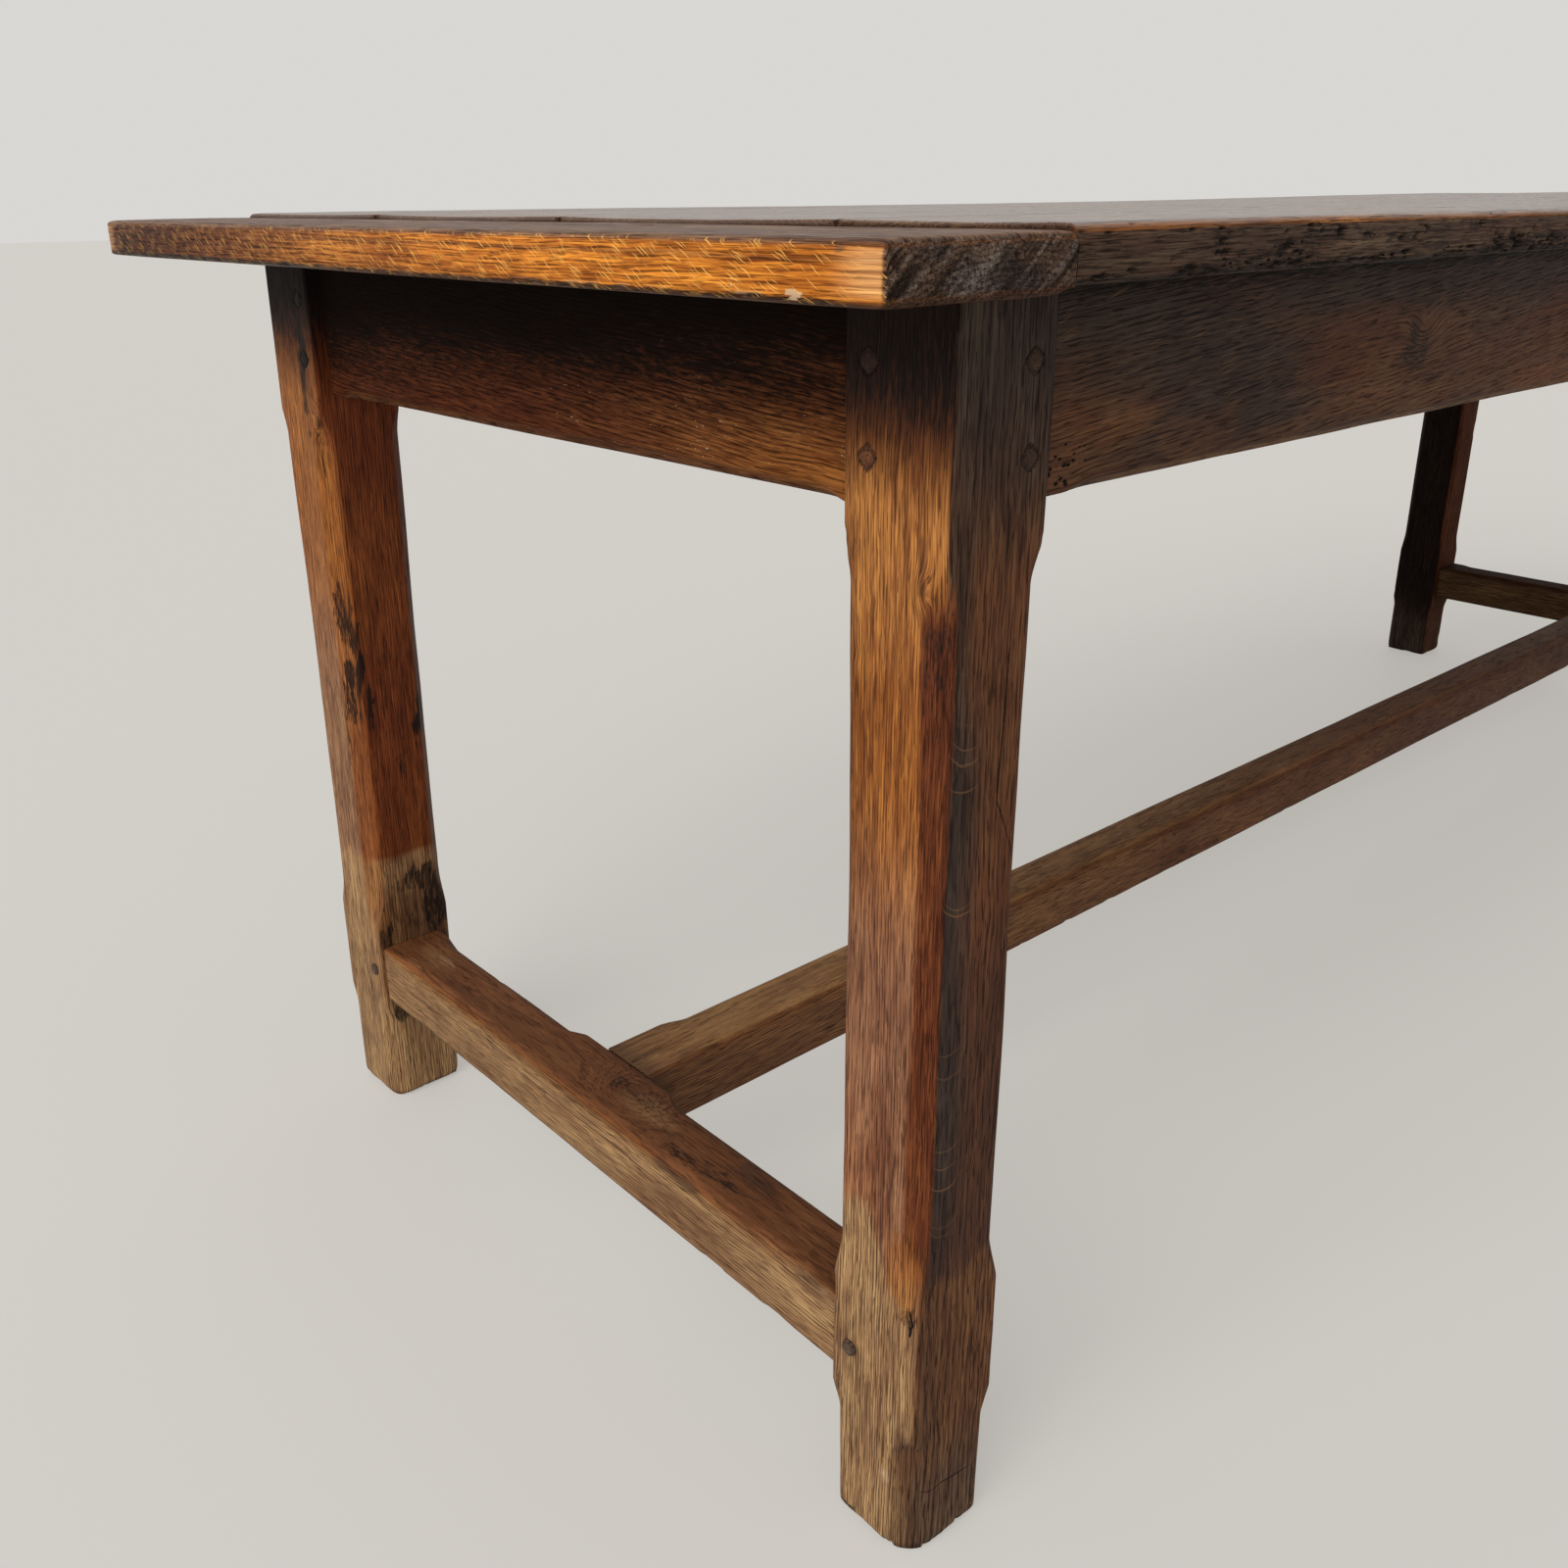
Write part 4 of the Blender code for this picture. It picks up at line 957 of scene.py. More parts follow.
def colour_back_leg(leg, blotch):
    """The other leg at the near end: red-brown inside, scorched over the stretcher, with a
    painted shadow of the top near its top.
    """
    end, inner = (X, -1), (Y, -1)
    x, y, z = (leg.at(axis) - leg.low[axis] for axis in (X, Y, Z))
    end_face = leg.facing(*end, 0.6)
    inner_face = leg.facing(*inner, 0.6)
    chamfer = rise(x / 10.5 + y / 17, 1.15, 0.85) * rise(z, 620, 570)
    leg.tint[:] = BROWN
    leg.paint(ORANGE, 0.7 * end_face)
    leg.paint(HONEY, 0.22 * end_face * stopped(z, 460, 680, 60, 50))
    leg.paint(RUSSET, 0.3 * end_face * rise(blotch, 0.0, 0.5))
    leg.paint(ROSE, 0.75 * end_face * rise(z, 560, 380))
    leg.paint(BLEACHED, 0.35 * end_face * rise(z, 500, 340))
    leg.paint(MAHOGANY, inner_face)
    leg.paint(RUSSET, 0.6 * inner_face * rise(blotch, -0.2, 0.4))
    leg.paint(ORANGE, 0.85 * chamfer * rise(z, 380, 500))
    leg.paint(RUSSET, 0.85 * chamfer * rise(z, 500, 400))
    leg.paint(UMBER, 0.7 * leg.facing(Y, 1, 0.6))
    bleach = rise(z + 6 * leg.noise(60, 14, 33, 3), 243, 237)
    leg.paint(BLEACHED, 0.75 * bleach + 0.25 * bleach * rise(z, 140, 80))
    leg.paint(ORANGE, 0.45 * bleach * chamfer * rise(z, 150, 200))
    scorched = inner_face * stopped(z, 85, 235, 30, 50)
    leg.paint(BROWN, 0.6 * scorched)
    leg.paint(UMBER, 0.5 * scorched * rise(x, 5, 40))
    for face, tar in ((inner, INNER_TAR), (end, END_TAR)):
        leg.smear(face, *((*oval, TAR_RAGGED) for oval in tar))
    leg.knot(end, (4, 618), 5.0, 0.7)
    # Painted shadow of the overhanging top, with black grime: the leg goes black near its top
    top = rise(z + 10 * blotch, 630, 725)
    leg.paint(RED_BROWN, 0.9 * top)
    leg.paint(SOOT_AND_SHADE, 0.85 * rise(z + 14 * blotch, 640, 720))
    leg.grime_and_shade(0.75 * top)
    leg.marks[:, MATT] = 0.15 * bleach + 0.6 * top
    leg.marks[:, OPEN] = 0.6 * bleach
    leg.crack(end, [(7, 600), (8, 585), (6, 570)], 0.9)


def colour_far_leg(leg, blotch):
    """The legs at the far end, painted almost black as shade, for the light falling off
    towards that end.
    """
    z = leg.at(Z)
    leg.tint[:] = UMBER
    leg.paint(RED_BROWN, 0.6 * leg.facing(Y, -1, 0.6))
    # Painted shade: the face looking along -X is painted black
    leg.paint(SOOT_AND_SHADE, 0.94 * leg.facing(X, -1, 0.6))
    leg.paint(BROWN, 0.4 * leg.facing(X, 1, 0.6))
    leg.paint(GREY_BROWN, 0.25 * rise(z + 30 * blotch, 120, 40))
    # Painted shadow of the top, with grime, near the leg's top
    leg.grime_and_shade(0.7 * rise(z + 12 * blotch, 640, 720))
    leg.marks[:, MATT] = 0.35


# Aprons


def make_side_apron(side, coarse):
    name = f"side_apron_{side}"
    low, high = between(name, X, f"leg_{side}_left", f"leg_{side}_right")
    face = (Y, OUTWARD[side])
    near = {X: [(low[X], low[X] + 300, 2.4 * coarse)]}
    spacing = [(4.5 * coarse,), (5, 8, 1.4 * coarse), (2.8 * coarse, 10, 1.3 * coarse)]
    apron = Board(name, net(low, high, spacing, near), X, 23 + face[1])
    x, z = apron.at(X), apron.at(Z)
    worn_long_arrises(apron, 2.0)
    inset = apron.from_ends()
    width = 5.2 * rise(inset, 6, 38) + 0.4
    apron.carve(face, UNDER, width * (1 + 0.18 * apron.noise(90, LONG, 6, 3)), 0.8)
    age_rail(apron, 260)
    outer = apron.facing(*face, 0.6)
    blotch = apron.noise(170, 32, 31, 3)
    apron.tint[:] = UMBER
    apron.paint(BROWN, 0.55 * outer * rise(blotch, -0.3, 0.5) * rise(z, 728, 700))
    apron.paint(RED_BROWN, 0.45 * outer * apron.patches(110, 26, 37, 0.0, 0.5))
    # Painted shade under the overhanging top, with grime: the outer face turns slate near its
    # top
    apron.paint(SLATE, 0.6 * outer * rise(z + 12 * blotch, 700, 735))
    apron.paint(SLATE, 0.5 * outer * rise(blotch, -0.1, -0.5))
    strip = rise(z, low[Z] + 4.5, low[Z] + 2.5) * rise(inset, 30, 60)
    apron.paint(TAN, 0.42 * strip)
    # Painted shade with grime: the top edge is blackened under the table top
    apron.grime_and_shade(0.62 * rise(z, high[Z] - 20, high[Z] - 3))
    if side == "front":
        apron.stain(face, (ORANGE, 0.16, (65, 29), (34, 9), 0.9))
        apron.stain(face, (ORANGE, 0.12, (125, 19), (40, 12), 0.9))
        apron.smear(face, (0.55, (358, 47), (22, 22)))
        apron.paint(BROWN, 0.6 * outer * rise(x, -600, -400) * rise(z, 710, 660))
        apron.knot(face, (370, 54), 7.0, 0.2, 1.6)
    wormy = rise(z + 10 * blotch, low[Z] + 48, low[Z] + 12)
    apron.marks[:, WORMY] = wormy * rise(inset, 62, 8) * outer
    apron.marks[:, MATT] = 0.25
    apron.marks[:, OPEN] = 0.2
    apron.flecks(face, 10, 0.30)
    pith = ((low[Y] + high[Y]) / 2 + 30 * face[1], low[Z] - 300)
    apron.build("aprons", pith, lean=-0.09, wave=1.6)


def make_end_apron(end, coarse):
    name = f"end_apron_{end}"
    low, high = between(name, Y, f"leg_front_{end}", f"leg_back_{end}")
    face = (X, OUTWARD[end])
    spacing = [(5, 11, 1.5 * coarse), (3.2 * coarse,), (2.8 * coarse, 14, 1.3 * coarse)]
    apron = Board(name, net(low, high, spacing), Y, 29 + face[1])
    y, z = apron.at(Y), apron.at(Z)
    worn_long_arrises(apron, 2.0)
    inset = apron.from_ends()
    width = 8.6 * rise(inset, 5, 30) + 0.4
    apron.carve(face, UNDER, width * (1 + 0.15 * apron.noise(120, LONG, 6, 2)), 1.0)
    age_rail(apron, 200)
    outer = apron.facing(*face, 0.6)
    blotch = apron.noise(150, 26, 31, 3)
    apron.tint[:] = UMBER
    apron.paint(RED_BROWN, 0.9 * outer)
    # Painted light: the outer face is lighter and warmer towards the bottom and towards the
    # front leg
    lit = outer * rise(z + 12 * blotch, 720, 645) * rise(y + 50 * blotch, 100, -300)
    apron.paint(BROWN, 0.95 * lit)
    apron.paint(RUSSET, 0.5 * lit * rise(blotch, -0.1, 0.5))
    apron.paint(ORANGE, 0.6 * lit * rise(y, -80, -260) * rise(z, 690, 650))
    strip = rise(z, low[Z] + 8, low[Z] + 5) * rise(inset, 8, 40)
    apron.paint(BROWN, 0.6 * strip)
    # Painted shadow of the overhanging top, with black grime: the outer face turns black near
    # its top
    dark = rise(z + 16 * blotch + 0.05 * y, 630, 725)
    apron.paint(SOOT_AND_SHADE, 0.9 * dark)
    apron.grime_and_shade(0.58 * dark + 0.2 * outer)
    specks = rise(apron.noise(60, 25, 42, 2), -0.1, 0.4)
    apron.bare(0.21 * specks * outer * (1 - dark))
    if end == "left":
        apron.bare(0.28 * apron.patch(face, (261, 20), (5, 4), 0.6))
        apron.bare(0.28 * apron.patch(face, (243, 19), (6, 4), 0.6))
    apron.marks[:, MATT] = 0.25 + 0.6 * dark
    apron.marks[:, OPEN] = 0.2
    pith = ((low[X] + high[X]) / 2 + 20 * face[1], high[Z] + 300)
    apron.build("dark", pith, lean=0.07, wave=1.8)


# Stretchers


def colour_stretcher(board, face, top_colour):
    """Top dark with age, pale scuffed sides, the chamfer between them orange-brown."""
    z = board.at(Z)
    top = board.facing(*TOP, 0.5)
    blotch = board.noise(130, 22, 31, 3)
    below_chamfer = rise(z, board.high[Z] - 7, board.high[Z] - 10)
    board.tint[:] = TAN
    board.paint(top_colour, board.facing(*TOP, 0.45))
    board.paint(BLEACHED, 0.8 * board.facing(*face, 0.75) * below_chamfer)
    board.paint(UMBER, 0.8 * board.facing(*UNDER, 0.5))
    board.paint(BROWN, 0.5 * board.patches(60, 18, 36, 0.1, 0.6))
    board.shade(1 + 0.25 * blotch)
    board.paint(ORANGE, 0.4 * board.arris(face, TOP) * (0.7 + 0.6 * blotch))
    board.smooth(0.4 * top)
    board.grime_and_shade(0.08 + 0.12 * top + 0.12 * blotch)
    board.marks[:, MATT] = 0.2 + 0.15 * top
    board.marks[:, OPEN] = 0.75 * board.facing(*face, 0.6)


def make_end_stretcher(end, coarse):
    name = f"end_stretcher_{end}"
    low, high = between(name, Y, f"leg_front_{end}", f"leg_back_{end}")
    face = (X, OUTWARD[end])
    inner_face = (X, -face[1])
    across = (3.2 * coarse, 14, 1.4 * coarse)
    places = net(low, high, [across, (2.8 * coarse,), across])
    board = Board(name, places, Y, 37 + face[1])
    y = board.at(Y)
    worn_long_arrises(board, 2.4)
    width = 9 * rise(board.from_ends(), 10, 36) + 0.5
    width *= 1 + 0.15 * board.noise(120, LONG, 6, 2)
    board.carve(face, TOP, width, 1.0)
    board.carve(inner_face, TOP, width * rise(np.abs(y), 48, 72) + 0.5, 1.0)
    age_rail(board, 200)
    colour_stretcher(board, face, BROWN)
    if end == "left":
        wear_near_stretcher(board, face)
    else:
        # Painted shade: the far stretcher is painted near black, for the light falling off
        # towards that end
        board.paint(SOOT_AND_SHADE, 0.75)
    board.knot(TOP, (34, 249), 11, 0.25, 1.6)
    wood = "stretchers" if end == "left" else "dark"
    board.build(wood, (low[X] + 20, low[Z] - 40), wave=1.2)


def wear_near_stretcher(board, face):
    """The stains, rubbed places and split of the end stretcher near the camera."""
    y = board.at(Y)
    outer = board.facing(*face, 0.5)
    board.stain(
        face,
        (UMBER, 0.75, (159, 50), (28, 7), 0.6),
        (UMBER, 0.7, (25, 50), (18, 7), 0.6),
        (CHIP, 0.35, (10, 50), (5, 4), 0.9),
    )
    board.stain(
        TOP,
        (UMBER, 0.6, (37, 112), (12, 26), 0.7),
        (BLEACHED, 0.30, (33, 227), (14, 34), 0.6),
        (BLEACHED, 0.25, (25, 527), (14, 26), 0.9),
        (CHIP, 0.12, (30, 516), (4, 20), 1.0),
    )
    board.smear(
        TOP,
        (0.5, (15, 175), (7, 34), 0.6),
        (0.45, (20, 130), (9, 40), 0.6),
        (0.55, (37, 267), (9, 9), 0.8),
        (0.40, (40, 235), (12, 50), 0.8),
    )
    board.paint(BROWN, 0.25 * outer * rise(y, 0, 250))
    board.paint(BLEACHED, 0.4 * outer * rise(y, -120, -270))
    board.crack(face, [(347, 35), (287, 34), (227, 35), (177, 34)], 0.7)


def make_centre_stretcher():
    name = "centre_stretcher"
    low, high = between(name, X, "end_stretcher_left", "end_stretcher_right")
    across = (3.5, 14, 1.4)
    places = net(low, high, [(5,), across, across], {X: [(low[X], -500, 2.8)]})
    board = Board(name, places, X, 41)
    x = board.at(X)
    worn_long_arrises(board, 2.4)
    inset = board.from_ends()
    for sign in (-1, 1):
        width = 9 * rise(inset, 46, 74) + 0.5
        width *= 1 + 0.15 * board.noise(160, LONG, 6 + sign, 2)
        board.carve((Y, sign), TOP, width, 1.0)
    age_rail(board, 260)
    colour_stretcher(board, (Y, -1), TAN)
    board.paint(BROWN, 0.75 * board.facing(Y, -1, 0.5))
    # Painted shade: darker towards the far end, where the light falls off
    board.paint(RED_BROWN, 0.65 * rise(x, -750, 350))
    board.paint(UMBER, 0.55 * rise(x, -300, 900))
    board.paint(UMBER, 0.6 * rise(inset, 26, 0))
    board.build("stretchers", (low[Y] + 15, low[Z] - 50), wave=1.0)


# Top

TOP_PEG_HALF = 5.5
TOP_HOLE_HALF = 6.0
TOP_HOLE_DEPTH = 1.5
SAG = 3.2
SAG_REACH = 1050
CUP = 0.9
BREADBOARD_PEGS = 4
HOUSING_GAP = 0.4
END_GRAIN_SLANT = math.radians(-42)
END_GRAIN_ROWS = (26, 40, 1.5)


def top_drop(x, y, middle, half):
    """How far the old top has sunk between its ends, and each plank in its middle."""
    sag = SAG * np.cos(np.clip(x / SAG_REACH, -1, 1) * math.pi / 2) ** 2
    return sag + CUP * (1 - ((y - middle) / half) ** 2)


def top_holes(board, pegs):
    """Sinks the round holes of some pegs and says where they are."""
    shape = (TOP_HOLE_HALF, TOP_HOLE_DEPTH, ROUND)
    return np.maximum.reduce([recess(board, TOP, centre_of(peg), *shape) for peg in pegs])


def make_plank(number, last, coarse):
    name = f"plank_{number}"
    low, high = between(name, X, "breadboard_left", "breadboard_right")
    pegs = [f"peg_bearer_{end}_{number}" for end in ("left", "right")]
    bands = peg_bands([(peg, Z) for peg in pegs], 1.0 * coarse)
    outer = {1: -1, last: 1}.get(number, 0)
    if outer:
        edge = low[Y] if outer < 0 else high[Y]
        strip = sorted((edge, edge - outer * 16))
        bands[Y].append((*strip, 1.3 * coarse))
    if number == 1:
        bands[X].append((low[X], -550, 2.3))
    spacing = [(3.8 * coarse, 20, 2 * coarse), (7, 6, 1.5 * coarse), (3, 10, 1.5 * coarse)]
    plank = Board(name, net(low, high, spacing, bands), X, 50 + number)
    middle = (low[Y] + high[Y]) / 2
    half = (high[Y] - low[Y]) / 2
    shape_plank(plank, outer, middle, half)
    edge_face = plank.facing(Y, outer, 0.55) if outer else np.zeros(len(plank.points))
    decay = plank.noise(55, 12, 8, 2) - 0.025 * (plank.inset(*UNDER) - 12)
    rotten = edge_face * rise(decay, -0.35, 0.35)
    pits = rise(plank.noise(7, 2.6, 9, 2) - 0.40 * (1 - rotten), 0.12, 0.26) * edge_face
    plank.sink(1.6 * pits)
    holes = top_holes(plank, pegs)
    colour_plank(plank, outer, edge_face, rotten)
    plank.paint(SOOT_AND_SHADE, 0.95 * pits)
    plank.paint(SOOT_AND_SHADE, holes)
    pith = (middle + 30 * (-1) ** number, low[Z] - 90)
    plank.build("top", pith, side_wood="top_sides")
    for peg in pegs:
        at = centre_of(peg)
        sunk = float(top_drop(at[X], at[Y], middle, half)) + 0.4
        make_peg(peg, TOP, BROWN, ROUND, TOP_PEG_HALF, sunk=sunk)


def shape_plank(plank, outer, middle, half):
    """Rounds a plank's arrises, most at the table's outer edge, and lets its top sag."""
    x, y = plank.at(X), plank.at(Y)
    for sign in (-1, 1):
        upper, lower = (7.0, 4.5) if sign == outer else (1.6, 1.0)
        wander = 1 + 0.3 * plank.noise(70, LONG, 15 + sign, 3)
        for edge, radius in ((TOP, upper * wander), (UNDER, lower * wander)):
            plank.carve((Y, sign), edge, ROUND_SHARE * radius, SOFT_SHARE * radius)
        plank.carve((X, sign), TOP, 0.9 * wander, 0.6)
    up = plank.inset(*UNDER) / (plank.high[Z] - plank.low[Z])
    plank.points[:, Z] -= up * top_drop(x, y, middle, half)
    plank.sink(0.4 * (1 + plank.noise(300, 50, 1, 2)) * (0.3 + 0.7 * up))
    plank.sink(0.12 * (1 + plank.noise(80, 4, 2, 2)) * plank.facing(*TOP, 0.6))


def colour_plank(plank, outer, edge_face, rotten):
    """Pale waxed top, dirty in the seams, over a grey worm-eaten outer edge."""
    top = plank.facing(*TOP, 0.6)
    plank.tint[:] = UMBER
    plank.paint(PALE_TOP, top)
    plank.paint(BROWN, 0.5 * top * plank.patches(300, 18, 35, 0.0, 0.5))
    plank.paint(BROWN, 0.35 * edge_face * plank.patches(90, 9, 38, -0.1, 0.5))
    plank.paint(GREY_BROWN, 0.5 * edge_face)
    plank.paint(SLATE, 0.6 * plank.facing(*UNDER, 0.5))
    if outer:
        worn = plank.arris((Y, outer), TOP) * (0.75 + 0.6 * plank.noise(50, 6, 36, 2))
        plank.paint(ORANGE, 0.9 * worn)
    plank.shade(1 + 0.22 * plank.noise(240, 50, 31, 3))
    plank.grime_and_shade(edge_face * (0.30 + 0.25 * rotten))
    plank.grime_and_shade(0.26 * top * plank.patches(200, 30, 39, -0.2, 0.5))
    seam = np.minimum(plank.inset(Y, 1), plank.inset(Y, -1))
    plank.grime_and_shade(0.8 * top * rise(seam, 4, 0.5) * (1 - edge_face) * (1 - abs(outer)))
    plank.marks[:, WORMY] = 0.85 * rotten
    plank.marks[:, MATT] = 0.4 * edge_face


def make_breadboard(end, coarse):
    name = f"breadboard_{end}"
    low, high = corners_of(name)
    out = OUTWARD[end]
    face, inner = (X, out), (X, -out)
    leg_low, leg_high = corners_of(f"leg_front_{end}")
    step_x = (leg_low[X] if end == "left" else leg_high[X]) + out * 0.5
    step_y = 0.5 - leg_low[Y]
    pegs = [f"peg_breadboard_{end}_{number}" for number in range(1, BREADBOARD_PEGS + 1)]
    bands = peg_bands([(peg, Z) for peg in pegs], 1.0 * coarse)
    bands[X].append((step_x - 1, step_x + 1, 0.5))
    bands[Y] += [(at - 1, at + 1, 0.5) for at in (-step_y, step_y)]
    spacing = [(3.2, 14, 1.2), (2.6, 26, 1.3), (1.6, 10, 1.2)]
    spacing = [(step * coarse, edge, small * coarse) for step, edge, small in spacing]
    board = Board(name, net(low, high, spacing, bands), Y, 71 + out)
    x, y = board.at(X), board.at(Y)
    wander = 1 + 0.2 * board.noise(60, LONG, 15, 3)
    board.carve(face, TOP, 4.2 * wander, 3)
    board.carve(face, UNDER, 3.0 * wander, 2)
    board.carve(inner, TOP, 0.9 * wander, 0.6)
    board.carve(inner, UNDER, 11, 0.8, 3.5)
    for sign in (-1, 1):
        board.carve((Y, sign), face, 15, 1.6, 4.2)
        board.carve((Y, sign), face, 4.5, 1.6, 6.5)
        board.carve((Y, sign), inner, 0.9, 0.6)
        board.carve((Y, sign), TOP, 3.4, 2.2, 4.4)
        board.carve((Y, sign), UNDER, 3.0, 2.0)
    housed = (board.facing(*UNDER, 0.5) > 0.5) & (np.abs(y) < step_y)
    housed &= (x - step_x) * out < 0
    roof = leg_high[Z] + HOUSING_GAP
    board.points[housed, Z] = np.maximum(board.points[housed, Z], roof)
    free = np.where(housed, 0.0, 1.0)
    tails = board.facing(Y, -1, 0.55) + board.facing(Y, 1, 0.55)
    board.sink(0.3 * (1 + board.noise(160, 30, 1, 2)) * free)
    board.sink(0.14 * (1 + board.noise(60, 3.0, 2, 2)) * free * (1 - tails))
    slant = np.array(Matrix.Rotation(END_GRAIN_SLANT, 3, "Y"))
    rows = noise(board.start @ slant, END_GRAIN_ROWS, 5, 2)
    board.sink(0.4 * (1 + rows) * tails)
    chips = rise(board.noise(10, 4, 4, 2), 0.25, 0.6)
    chips = chips * rise(board.inset(*UNDER), 5, 2) * board.facing(*face, 0.55)
    board.sink(0.9 * chips)
    holes = top_holes(board, pegs)
    colour_breadboard(board, face, tails, rows, chips)
    board.paint(SOOT_AND_SHADE, holes)
    pith = ((low[X] + high[X]) / 2 - 20 * out, low[Z] - 140)
    board.build("breadboard", pith, wave=0.7)
    for peg in pegs:
        make_peg(peg, TOP, BROWN, ROUND, TOP_PEG_HALF, sunk=0.6)


def colour_breadboard(board, face, tails, rows, chips):
    """The end face runs from honey near the camera to dark red, partly as painted shade, with
    grey end grain and painted highlights on its rounded corners.
    """
    y, z = board.at(Y), board.inset(*UNDER)
    outer = board.facing(*face, 0.55)
    top = board.facing(*TOP, 0.6)
    blotch = board.noise(180, 26, 31, 3)
    far = y + 50 * blotch
    board.tint[:] = BROWN
    # The end face darkens towards +Y: partly darker stain, partly painted shade of the light
    # falling off that way
    board.paint(AMBER, outer)
    board.paint(ORANGE, 0.45 * outer * rise(far, -250, 0))
    board.paint(BROWN, 0.7 * outer * rise(far, -80, 180))
    board.paint(RED_BROWN, 0.95 * outer * rise(far, 0, 300))
    board.paint(COFFEE, 0.5 * outer * rise(far, 120, 360))
    seam = np.abs(z - 18 - 1.2 * board.noise(90, LONG, 44, 2))
    board.paint(BROWN, 0.7 * outer * rise(seam, 1.3, 0.3))
    # Painted highlight on the rounded corners, over rubbed wood
    corner = rise(board.inset(Y, -1), 32, 6) + rise(board.inset(Y, 1), 32, 6)
    corner = corner * (1 - tails) * (1 - board.facing(*TOP, 0.5))
    board.paint(WEAR_AND_HIGHLIGHT, 0.65 * corner * rise(z, 2, 7))
    board.smooth(0.7 * corner)
    board.paint(PALE_TOP, 0.8 * top)
    board.paint(GREY_BROWN, 0.85 * tails)
    board.paint(SLATE, 0.8 * tails * rise(board.noise(20, 14, 45, 2), -0.2, 0.4))
    board.paint(SOOT_AND_SHADE, 0.8 * tails * rise(rows, 0.05, 0.4))
    board.paint(PALE_GREY, 0.6 * tails * rise(rows, -0.05, -0.45))
    board.grime_and_shade(0.34 * tails)
    warm = rise(board.inset(*TOP), 3, 0.6) * (1 - top)
    board.paint(ORANGE, 0.8 * warm * np.clip(tails + 0.6, 0, 1))
    board.paint(BROWN, 0.6 * tails * rise(z, 5, 2))
    board.paint(CHIP, chips * (0.25 + 0.4 * rise(y, -50, -200)))
    # Black spots on the face, more along its bottom edge and towards +Y; the gradient towards
    # +Y is partly painted shade
    face_darkening = 0.20 + 0.35 * rise(z, 5, 2) + 0.2 * rise(y, 0, 350)
    board.grime_and_shade(outer * face_darkening * (1 - 0.9 * np.clip(corner, 0, 1)))
    board.grime_and_shade(0.26 * top * board.patches(160, 30, 39, -0.2, 0.5))
    board.paint(UMBER, 0.85 * board.facing(*UNDER, 0.5))
    board.shade(1 + 0.2 * blotch)
    if face[1] < 0:
        board.bare(0.7 * board.patch(face, (47, 3), (6, 3), 0.6))
        board.bare(0.5 * board.patch(face, (83, 8), (2, 5), 0.6))
        board.stain(face, (GREY_BROWN, 0.6, (23, 23), (3, 2), 0.6))
    board.marks[:, MATT] = 0.3 * tails
    strength = (0.45 + 0.25 * rise(y, 300, -100)) * (1 - np.clip(corner, 0, 1))
    board.flecks(face, 32, strength)


def make_bearer(end):
    name = f"bearer_{end}"
    low, high = corners_of(name)
    across = (7, 4, 2)
    board = Board(name, net(low, high, [across, (9,), across]), Y, 83 + len(end))
    worn_long_arrises(board, 2)
    board.sink(0.3 * (1 + board.noise(90, 12, 1, 2)))
    board.tint[:] = UMBER
    board.shade(1 + 0.25 * board.noise(150, 25, 31, 3))
    board.marks[:, MATT] = 0.7
    board.build("bearers", (low[X] - 20, low[Z] - 60))


# Stage


def seen_rays(s):
    """1 for the rays of the camera, of reflections and through glass, 0 for the others."""
    rays = s.add("LightPath").node.outputs
    share = rays["Is Camera Ray"]
    for kind in ("Is Glossy Ray", "Is Transmission Ray"):
        share = s.math("MAXIMUM", share, rays[kind])
    return share


def make_floor():
    """A pale floor. Part of it shines to the camera, so its shadows stay soft and light."""
    mesh = bpy.data.meshes.new("studio_floor")
    reach = FLOOR_REACH
    corners = [(-reach, -reach, 0), (reach, -reach, 0), (reach, reach, 0), (-reach, reach, 0)]
    mesh.from_pydata(corners, [], [(0, 1, 2, 3)])
    floor = add_object("studio_floor", mesh)
    material = bpy.data.materials.new("studio_floor")
    s = Nodes(material)
    lit = s.tree.nodes["Principled BSDF"]
    s.put(lit.inputs["Base Color"], (*FLOOR_COLOUR, 1))
    s.put(lit.inputs["Roughness"], FLOOR_ROUGHNESS)
    s.put(lit.inputs["Specular IOR Level"], FLOOR_SHINE)
    share = s.math("MULTIPLY", seen_rays(s), FLOOR_SEEN_SHARE)
    glow = s.add("Emission", [(*FLOOR_SEEN, 1)])
    mixed = s.add("MixShader", (share, lit.outputs[0], glow))
    s.put(s.tree.nodes["Material Output"].inputs["Surface"], mixed)
    mesh.materials.append(material)


def make_sky():
    """Soft light from all round, stronger low down, as in a pale room.

    The camera and the reflections see a plain pale backdrop instead.
    """
    world = bpy.data.worlds.new("studio")
    bpy.context.scene.world = world
    s = Nodes(world)
    s.tree.nodes.clear()
    height = s.parts(s.add("TexCoord", output="Generated"))["Z"]
    strength = s.add("MapRange", (height, 0.0, SKY_FADE, SKY_LOW, SKY_HIGH))
    lit = s.add("Background", ((1, 1, 1, 1), strength))
    seen = s.add("Background", [(*SKY_SEEN, 1)])
    mixed = s.add("MixShader", (seen_rays(s), lit, seen))
    output = s.tree.nodes.new("ShaderNodeOutputWorld")
    s.put(output.inputs["Surface"], mixed)


def add_lamp(data, place, direction):
    lamp = add_object(data.name, data)
    lamp.location = place
    lamp.rotation_euler = Vector(direction).to_track_quat("Z", "Y").to_euler()
    lamp.visible_camera = False


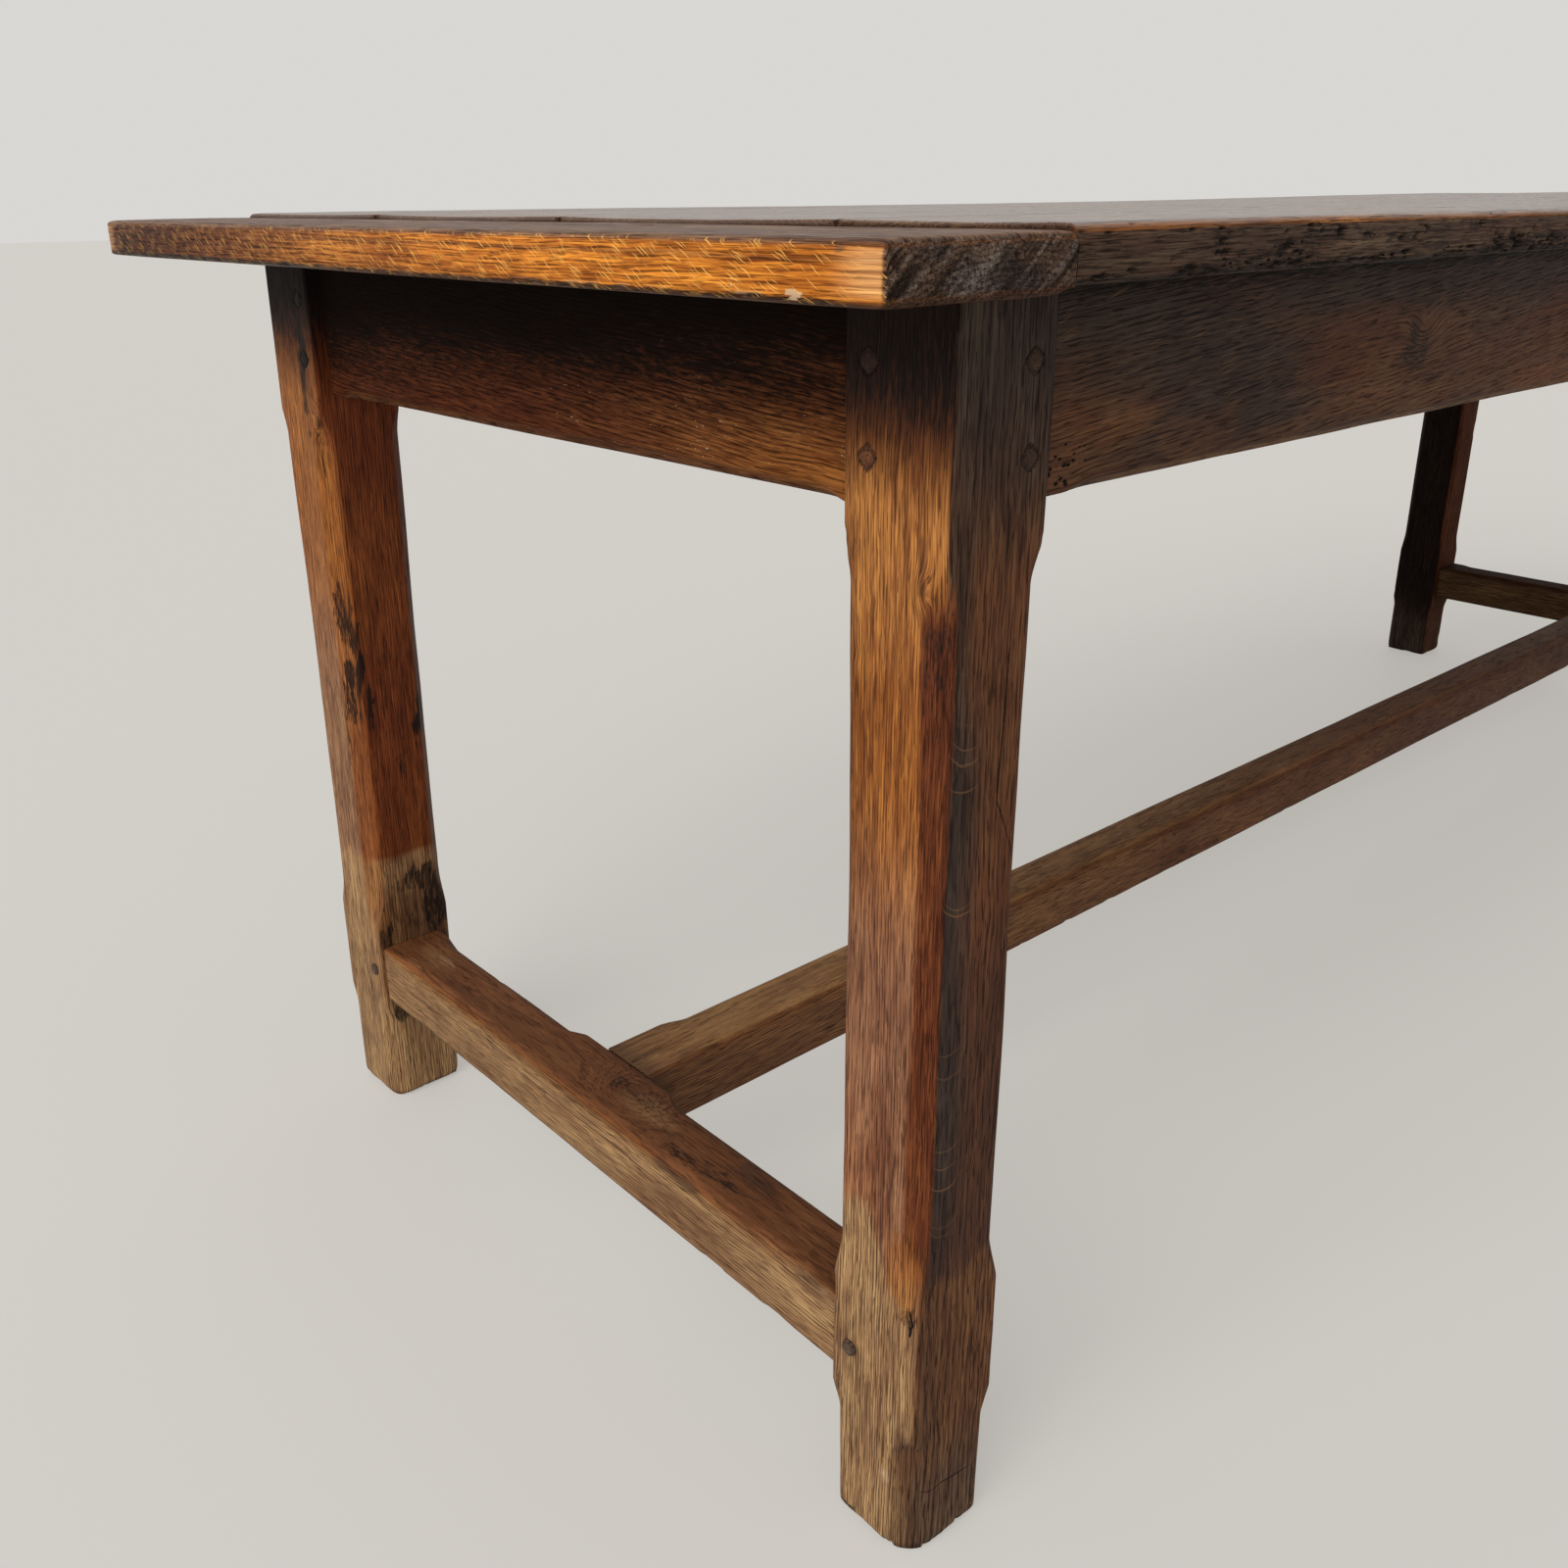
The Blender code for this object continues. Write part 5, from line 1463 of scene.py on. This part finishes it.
def make_lamps():
    """A broad soft sun from the left end, and a low window there for the highlights."""
    key = bpy.data.lights.new("key", "SUN")
    key.energy = KEY_STRENGTH
    key.angle = KEY_SPREAD
    key.color = KEY_COLOUR
    add_lamp(key, KEY_AT, KEY_FROM)
    window = bpy.data.lights.new("window", "AREA")
    window.energy = WINDOW_POWER
    window.shape = "RECTANGLE"
    window.size, window.size_y = WINDOW_SIZE
    add_lamp(window, WINDOW_AT, WINDOW_FROM)


def make_camera():
    """The photograph's camera: place, direction, lens and off-centre frame."""
    data = bpy.data.cameras.new("photo_camera")
    data.sensor_width = SENSOR_MM
    data.lens = FOCAL_PIXELS / PHOTO_SIDE * SENSOR_MM
    data.shift_x = 0.5 - PRINCIPAL_PIXEL[0] / PHOTO_SIDE
    data.shift_y = PRINCIPAL_PIXEL[1] / PHOTO_SIDE - 0.5
    data.clip_start = 0.01
    camera = add_object("photo_camera", data)
    yaw = Matrix.Rotation(CAMERA_YAW - math.pi / 2, 4, "Z")
    pitch = Matrix.Rotation(math.pi / 2 - CAMERA_PITCH, 4, "X")
    roll = Matrix.Rotation(CAMERA_ROLL, 4, "Z")
    camera.matrix_world = Matrix.Translation(CAMERA_AT) @ yaw @ pitch @ roll
    bpy.context.scene.camera = camera


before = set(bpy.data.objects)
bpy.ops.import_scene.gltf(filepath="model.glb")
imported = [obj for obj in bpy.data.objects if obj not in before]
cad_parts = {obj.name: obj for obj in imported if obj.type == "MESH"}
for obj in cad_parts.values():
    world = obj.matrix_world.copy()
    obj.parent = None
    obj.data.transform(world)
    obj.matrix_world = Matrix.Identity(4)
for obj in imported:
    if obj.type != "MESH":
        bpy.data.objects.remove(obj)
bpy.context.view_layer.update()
OAK = {wood: oak_material(f"oak_{wood}", *looks) for wood, looks in WOODS.items()}

for leg_side, leg_end in itertools.product(("front", "back"), ("left", "right")):
    nearest = (leg_side, leg_end) == ("front", "left")
    make_leg(leg_side, leg_end, IN_VIEW if nearest else LEG_NET)
make_side_apron("front", IN_VIEW)
make_side_apron("back", HIDDEN_NET)
for make_rail in (make_end_apron, make_end_stretcher):
    make_rail("left", IN_VIEW)
    make_rail("right", HIDDEN_NET)
make_centre_stretcher()
plank_count = sum(node.startswith("plank_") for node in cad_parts)
for plank_number in range(1, plank_count + 1):
    make_plank(plank_number, plank_count, IN_VIEW if plank_number == 1 else PLANK_NET)
make_breadboard("left", IN_VIEW)
make_breadboard("right", HIDDEN_NET)
for table_end in ("left", "right"):
    make_bearer(table_end)
    make_peg(f"peg_centre_{table_end}", UNDER, UMBER, ROUND)

make_floor()
make_sky()
make_lamps()
make_camera()
bpy.context.scene.view_settings.view_transform = "Standard"
